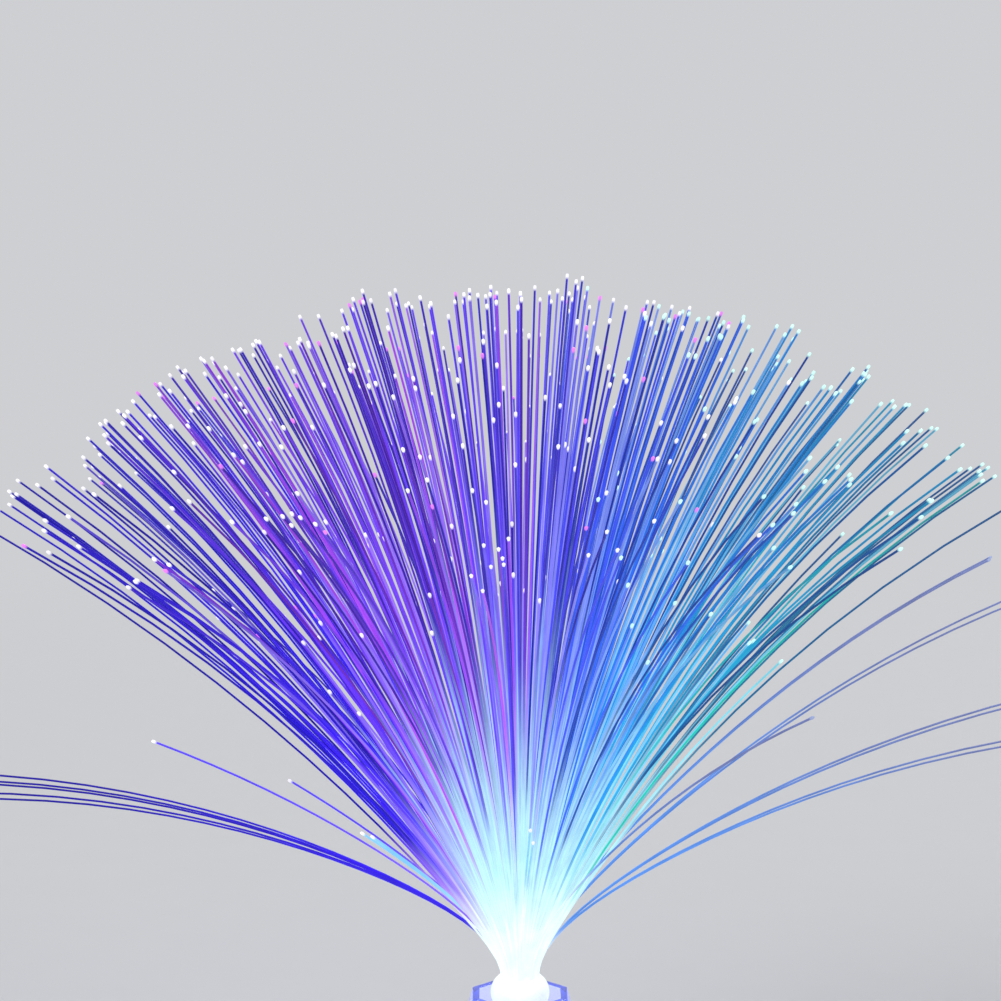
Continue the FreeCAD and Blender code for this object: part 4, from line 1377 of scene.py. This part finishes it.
class StrandLoom:
    """Lays strands into one bmesh, with the light's colour on every vertex."""

    SIDES = 5

    def __init__(self, radius: float) -> None:
        """Starts an empty bmesh.

        Args:
            radius: the strands' radius.
        """
        self.radius = radius
        self.count = 0
        self.shape = bmesh.new()
        self.shape.verts.layers.float_color.new(GLOW)

    def lay(self, path: list[Vector], colours: list[Colour], widths: list[float]) -> None:
        """Sweeps a ring of vertices along a path, closes the tip and adds the strand to the rest.

        Args:
            path: the centre of each ring.
            colours: the light at each ring.
            widths: each ring's share of the strand's radius.
        """
        strand = bmesh.new()
        glow = strand.verts.layers.float_color.new(GLOW)
        made = bmesh.ops.create_circle(strand, cap_ends=False, radius=self.radius, segments=self.SIDES,
                                       matrix=Matrix.Translation(path[0]))
        ring, edges = made["verts"], strand.edges[:]
        self.tint(ring, glow, colours[0])
        heading = UP
        for index in range(1, len(path)):
            before, here, after = path[index - 1], path[index], path[min(index + 1, len(path) - 1)]
            turned = heading.rotation_difference((after - before).normalized()).to_matrix()
            ring, edges = self.next_ring(strand, edges)
            bmesh.ops.rotate(strand, verts=ring, cent=before, matrix=turned)
            bmesh.ops.translate(strand, verts=ring, vec=here - before)
            share = widths[index] / widths[index - 1]
            if share != 1.0:
                bmesh.ops.scale(strand, verts=ring, vec=(share,) * 3, space=Matrix.Translation(-here))
            self.tint(ring, glow, colours[index])
            heading = (after - before).normalized()
        bmesh.ops.contextual_create(strand, geom=edges)
        self.add(strand)

    def add(self, strand: bmesh.types.BMesh) -> None:
        """Adds a strand to the rest, and frees it.

        Args:
            strand: the finished strand.
        """
        carrier = bpy.data.meshes.new("strand_carrier")
        strand.to_mesh(carrier)
        strand.free()
        self.shape.from_mesh(carrier)
        bpy.data.meshes.remove(carrier)
        self.count += 1

    @staticmethod
    def next_ring(strand: bmesh.types.BMesh, edges: list[bmesh.types.BMEdge]) -> Ring:
        """Draws a strand's open end on into a new ring, in the same place.

        Args:
            strand: the strand's bmesh.
            edges: the edges of its last ring.

        Returns:
            The new ring's vertices and edges.
        """
        swept = bmesh.ops.extrude_edge_only(strand, edges=edges)["geom"]
        ring = [part for part in swept if isinstance(part, bmesh.types.BMVert)]
        known = set(ring)
        drawn = [part for part in swept if isinstance(part, bmesh.types.BMEdge)]
        return ring, [edge for edge in drawn if all(vert in known for vert in edge.verts)]

    @staticmethod
    def tint(ring: list[bmesh.types.BMVert], glow: bmesh.types.BMLayerItem, colour: Colour) -> None:
        """Writes the light's colour on a ring."""
        for vert in ring:
            vert[glow] = (*colour, 1.0)


@dataclass(frozen=True)
class Bend:
    """How strands leave the collar: the bend's length, its share of the tilt, and the steps of a path."""

    length: float
    share: float
    steps: int


@dataclass(frozen=True)
class Droop:
    """Loose strands that lie together: angles in degrees, reach as a share of the full length."""

    azimuth: float
    tilt: float
    reach: float
    count: int
    tone: StrayTone


@dataclass
class Spray:
    """The light guides above the collar, gathered by the side that they lean to. Angles are in degrees."""

    seed: int = 4711
    fibre_radius: float = 0.375 * MM
    fibre_length: float = 236.0 * MM
    field_radius: float = 6.2 * MM
    straight_run: float = 3.3 * MM
    spread: float = 65.0
    # how much less the right side tilts than the middle
    bias: float = 0.05
    bend: Bend = Bend(length=5.0 * MM, share=0.4, steps=16)
    left_bend_share: float = 0.22
    right_bend_share: float = 0.09
    step_growth: float = 1.8
    # how far from the end of a strand its last rings lie, and their shares of its radius
    tip_rings: tuple[Range, ...] = ((2.0 * MM, 1.0), (1.0 * MM, 1.45), (0.4 * MM, 1.45), (0.0, 1.015))
    tufts: int = 78
    tuft_size: tuple[int, int] = (7, 9)
    # tufts that lean further to the right than thin_from hold fewer strands
    thin_tuft_size: tuple[int, int] = (4, 6)
    thin_from: float = 34.0
    tuft_jitter: float = 2.7
    reaches: tuple[float, ...] = (1.0, 0.982, 0.994, 0.988, 1.0, 0.98, 0.99)
    least_tilt: float = 0.6
    tilt_margin: float = 1.0
    least_sine: float = 0.12
    length_share: Range = (1.0, 1.02)
    short_chance: float = 0.22
    short_share: Range = (0.55, 0.96)
    start_jitter: float = 0.06
    packing: float = 0.42
    swing_jitter: float = 1.4
    # each side's name and the furthest lean to the right, in degrees, that it holds
    sides: tuple[tuple[str, float], ...] = (
        ("deep_blue", -27.0),
        ("violet", -9.0),
        ("indigo", 9.0),
        ("azure", 27.0),
        ("cyan", 90.0),
    )
    leak_scale: float = 60.0
    leak_scale_step: float = 9.0
    stray_leak_scale: float = 75.0
    stray_bend: Bend = Bend(length=12.0 * MM, share=0.6, steps=24)
    mate_drift: float = 1.2
    mate_reach: Range = (0.93, 1.0)
    strays: tuple[Droop, ...] = (
        Droop(azimuth=180, tilt=96, reach=1.0, count=5, tone=StrayTone.DEEP),
        Droop(azimuth=189, tilt=79, reach=0.64, count=1, tone=StrayTone.VIOLET),
        Droop(azimuth=169, tilt=80, reach=0.44, count=1, tone=StrayTone.VIOLET),
        Droop(azimuth=203, tilt=74, reach=0.34, count=2, tone=StrayTone.PALE),
        Droop(azimuth=0, tilt=88, reach=1.0, count=2, tone=StrayTone.DIM),
        Droop(azimuth=-11, tilt=79, reach=0.98, count=2, tone=StrayTone.DIM),
        Droop(azimuth=18, tilt=74, reach=1.0, count=2, tone=StrayTone.DIM),
        Droop(azimuth=27, tilt=72, reach=1.0, count=2, tone=StrayTone.DIM),
        Droop(azimuth=305, tilt=70, reach=0.8, count=1, tone=StrayTone.DIM),
        Droop(azimuth=272, tilt=72, reach=0.44, count=2, tone=StrayTone.PALE),
        Droop(azimuth=78, tilt=84, reach=0.98, count=2, tone=StrayTone.DIM),
        Droop(azimuth=128, tilt=80, reach=0.94, count=2, tone=StrayTone.DEEP),
    )

    def __post_init__(self) -> None:
        """Starts the random draws, which are the same in every run, and finds where the strands start."""
        self.draw = random.Random(self.seed)
        self.light = SprayLight(self.draw, self.fibre_length)
        self.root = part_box("potted_bundle")[1].z

    def build(self, effects: Effects) -> None:
        """Builds one piece for each side's strands, and one for the strays.

        Args:
            effects: the shared groups.
        """
        looms = {side: StrandLoom(self.fibre_radius) for side, _ in self.sides}
        for strand in self.bulk():
            lean = self.lean_of(strand)
            side = next(name for name, most in self.sides if lean <= most)
            self.lay(looms[side], strand, self.light.along(strand, lean))
        for order, (side, _) in enumerate(self.sides):
            self.make(side, looms[side], self.leak_scale + self.leak_scale_step * order, effects)
        loom = StrandLoom(self.fibre_radius)
        for strand in self.loose():
            self.lay(loom, strand, self.light.along_stray(strand))
        self.make("stray", loom, self.stray_leak_scale, effects)

    @staticmethod
    def make(group: str, loom: StrandLoom, leak_scale: float, effects: Effects) -> None:
        """Makes a group of strands the piece that stands for its node.

        Args:
            group: the group's name.
            loom: the group's strands.
            leak_scale: how fine the streaks in their light are.
            effects: the shared groups.
        """
        piece = Piece(f"strands_{group}", "fibre_head", f"light_{group}", f"fibres_{group}")
        LOG.info("%s holds %d strands", piece.name, loom.count)
        piece.make(loom.shape, StrandFinish(piece.slot, leak_scale).material(effects))

    def bulk(self) -> list[Strand]:
        """Draws the strands of the spray, in tufts that are spread evenly over a cap.

        Returns:
            The strands.
        """
        golden = math.pi * (3 - math.sqrt(5))
        cap = 1 - math.cos(math.radians(self.spread))
        strands = []
        for number in range(self.tufts):
            share = (number + 0.5) / self.tufts
            tilt = math.degrees(math.acos(1 - cap * share))
            azimuth = math.degrees(number * golden) % 360
            reach = self.reaches[number % len(self.reaches)]
            thin = tilt * math.cos(math.radians(azimuth)) > self.thin_from
            for _ in range(self.draw.randint(*(self.thin_tuft_size if thin else self.tuft_size))):
                strands.append(self.tuft_mate(share, azimuth, tilt, reach))
        return strands

    def tuft_mate(self, share: float, azimuth: float, tilt: float, reach: float) -> Strand:
        """Draws one strand of a tuft.

        Args:
            share: the tuft's place from the middle of the bundle, 0, to its edge, 1.
            azimuth: the tuft's direction in degrees.
            tilt: its tilt at the tips in degrees.
            reach: its share of the full length.

        Returns:
            The strand.
        """
        draw = self.draw
        across = draw.gauss(0.0, self.tuft_jitter)
        outward = draw.gauss(0.0, self.tuft_jitter)
        own_tilt = min(self.spread + self.tilt_margin, max(self.least_tilt, tilt + outward))
        own_azimuth = azimuth + across / max(self.least_sine, math.sin(math.radians(own_tilt)))
        own_tilt *= 1 - self.bias * math.cos(math.radians(own_azimuth))
        length = reach * draw.uniform(*self.length_share)
        if draw.random() < self.short_chance:
            length *= draw.uniform(*self.short_share)
        place = min(1.0, max(0.0, share + draw.gauss(0.0, self.start_jitter)))
        return Strand(
            start_radius=self.field_radius * place ** self.packing,
            azimuth=own_azimuth,
            tip_tilt=own_tilt,
            length=self.fibre_length * length,
            shade=draw.random(),
            swing=draw.gauss(0.0, self.swing_jitter),
        )

    def loose(self) -> list[Strand]:
        """Draws the strays that droop below the spray, each with the mates that lie along it.

        Returns:
            The strays.
        """
        draw = self.draw
        strands = []
        for droop in self.strays:
            for mate in range(droop.count):
                drift = self.mate_drift if mate else 0.0
                azimuth = droop.azimuth + draw.gauss(0.0, drift)
                tilt = droop.tilt + draw.gauss(0.0, drift)
                reach = droop.reach * (draw.uniform(*self.mate_reach) if mate else 1.0)
                length = self.fibre_length * reach
                shade = draw.random()
                strands.append(Strand(self.field_radius, azimuth, tilt, length, shade, tone=droop.tone))
        return strands

    def path(self, strand: Strand) -> tuple[list[Vector], list[float]]:
        """Works out a strand's course.

        A share of the tilt comes in the first bend above the collar, and the rest is sag along the length.
        Strands at the sides bend more and sag less, the left ones most, with the same tilt on average.

        Args:
            strand: the strand.

        Returns:
            The centres of its rings, and how far along the strand each lies.
        """
        azimuth = math.radians(strand.azimuth)
        bend = self.stray_bend if strand.tone else self.bend
        share, tip_tilt = bend.share, strand.tip_tilt
        if not strand.tone:
            side = math.cos(azimuth) * tip_tilt / self.spread
            share += side * self.right_bend_share if side > 0 else -side * self.left_bend_share
            tip_tilt *= (1 + bend.share) / (1 + share)
        free = strand.length - self.straight_run
        marks = [free * (step / bend.steps) ** self.step_growth for step in range(bend.steps)]
        marks += [free - from_end for from_end, _ in self.tip_rings]
        outward = Vector((math.cos(azimuth), math.sin(azimuth), 0.0))
        root = outward * strand.start_radius + UP * self.root
        points = [root, root + UP * self.straight_run]
        for start, end in zip(marks, marks[1:]):
            middle = (start + end) / 2
            bent = share * (1 - math.exp(-middle / bend.length))
            sag = (1 - share) * middle / self.fibre_length
            tilt = math.radians(tip_tilt * (bent + sag))
            turn = azimuth + math.radians(strand.swing * middle / self.fibre_length)
            level = Vector((math.cos(turn), math.sin(turn), 0.0))
            heading = level * math.sin(tilt) + UP * math.cos(tilt)
            points.append(points[-1] + heading * (end - start))
        return points, [0.0, *(self.straight_run + mark for mark in marks)]

    def lean_of(self, strand: Strand) -> float:
        """How far a strand's tip leans to the right, in degrees."""
        tip = self.path(strand)[0][-1]
        return math.degrees(math.atan2(tip.x, tip.z - self.root))

    def lay(self, loom: StrandLoom, strand: Strand, glow: Glow) -> None:
        """Sweeps one strand into a loom, with a fused drop at its tip.

        Args:
            loom: where the strand goes.
            strand: the strand.
            glow: the light along it.
        """
        points, lengths = self.path(strand)
        widths = [1.0] * (len(points) - len(self.tip_rings)) + [width for _, width in self.tip_rings]
        loom.lay(points, [glow.at(length) for length in lengths], widths)


# ---------------------------------------------------------------- stage, lights and camera


def look_at(thing: bpy.types.Object, aim: Vector) -> None:
    """Turns a light or a camera towards a point."""
    thing.rotation_euler = (aim - thing.location).to_track_quat("-Z", "Y").to_euler()


@dataclass(frozen=True)
class SoftBox:
    """A square studio light that looks at the lamp."""

    name: str
    place: tuple[float, float, float]
    side: float
    watts: float

    def build(self, aim: Vector) -> None:
        """Hangs the light.

        Args:
            aim: the point that it looks at.
        """
        data = bpy.data.lights.new(self.name, "AREA")
        data.size = self.side
        data.energy = self.watts
        made = bpy.data.objects.new(self.name, data)
        made.location = self.place
        look_at(made, aim)
        bpy.context.scene.collection.objects.link(made)


@dataclass
class Studio:
    """Seamless pale stage, soft light and the camera."""

    paper: Colour = srgb(206, 207, 210)
    flat_radius: float = 2.4
    cove_radius: float = 1.6
    wall_height: float = 1.2
    cove_steps: int = 16
    turn_steps: int = 96
    join_distance: float = 0.1 * MM
    world_level: float = 0.62
    elevation: float = math.radians(8)
    distance: float = 0.9
    view_width: float = 330.3 * MM
    sensor: float = 36.0
    clip: Range = (0.05, 30.0)
    aim: tuple[float, float, float] = (-6.6 * MM, 0.0, 262.3 * MM)
    light_aim: tuple[float, float, float] = (0.0, 0.0, 0.2)
    boxes: tuple[SoftBox, ...] = (
        SoftBox(name="key_light", place=(-1.5, -1.5, 1.9), side=1.3, watts=30.0),
        SoftBox(name="fill_light", place=(1.8, -1.2, 1.3), side=1.3, watts=13.0),
        SoftBox(name="back_light", place=(0.4, 1.9, 1.8), side=1.2, watts=16.0),
    )

    def build(self, effects: Effects) -> None:
        """Builds the stage, the world, the lights and the camera.

        Args:
            effects: the shared groups.
        """
        self.build_stage(effects)
        self.build_world()
        for box in self.boxes:
            box.build(Vector(self.light_aim))
        self.build_camera()

    def build_stage(self, effects: Effects) -> None:
        """Builds a round floor whose rim curves up all round into a wall.

        Args:
            effects: the shared groups.
        """
        lathe = Lathe(Vector((0.0, 0.0, 0.0)))
        lathe.line_to(Vector((self.flat_radius, 0.0, 0.0)))
        cove_centre = Vector((self.flat_radius, 0.0, self.cove_radius))
        lathe.arc_about(cove_centre, math.pi / 2, self.cove_steps)
        lathe.line_to(lathe.last.co + UP * self.wall_height)
        shape = lathe.turned(self.turn_steps, self.join_distance)
        if sum(face.normal.z for face in shape.faces) < 0:
            bmesh.ops.reverse_faces(shape, faces=shape.faces)
        floor = shown("stage_floor", shape, PaperFinish("stage_paper", self.paper).material(effects))

    def build_world(self) -> None:
        """Builds even light from all round, which the camera sees in the stage's own colour."""
        world = bpy.data.worlds.new("studio")
        world.use_nodes = True
        bpy.context.scene.world = world
        w = Wiring(world.node_tree)
        lit = w.node("ShaderNodeBackground", {"Color": WHITE, "Strength": self.world_level}).outputs[0]
        seen = w.node("ShaderNodeBackground", {"Color": self.paper, "Strength": 1.0}).outputs[0]
        to_camera = w.node("ShaderNodeLightPath").outputs["Is Camera Ray"]
        mix = w.node("ShaderNodeMixShader", {0: to_camera, 1: lit, 2: seen})
        w.node("ShaderNodeOutputWorld", {"Surface": mix.outputs[0]})

    def build_camera(self) -> None:
        """Builds the camera, whose long lens looks slightly down on the spray."""
        data = bpy.data.cameras.new("camera")
        data.sensor_width = self.sensor
        data.lens = self.sensor * self.distance / self.view_width
        data.clip_start, data.clip_end = self.clip
        camera = bpy.data.objects.new("camera", data)
        aim = Vector(self.aim)
        back = Vector((0.0, -math.cos(self.elevation), math.sin(self.elevation)))
        camera.location = aim + back * self.distance
        look_at(camera, aim)
        bpy.context.scene.collection.objects.link(camera)
        bpy.context.scene.camera = camera
        bpy.context.scene.view_settings.view_transform = "Standard"


def main() -> None:
    """Builds the studio and the lamp, from the foot up."""
    logging.basicConfig(level=logging.INFO, format="%(message)s")
    effects = Effects()
    Studio().build(effects)
    Foot().build(effects)
    Electrics().build(effects)
    CrownAndTube().build(effects)
    BallCollar().build(effects)
    Spray().build(effects)


if __name__ == "__main__":
    main()
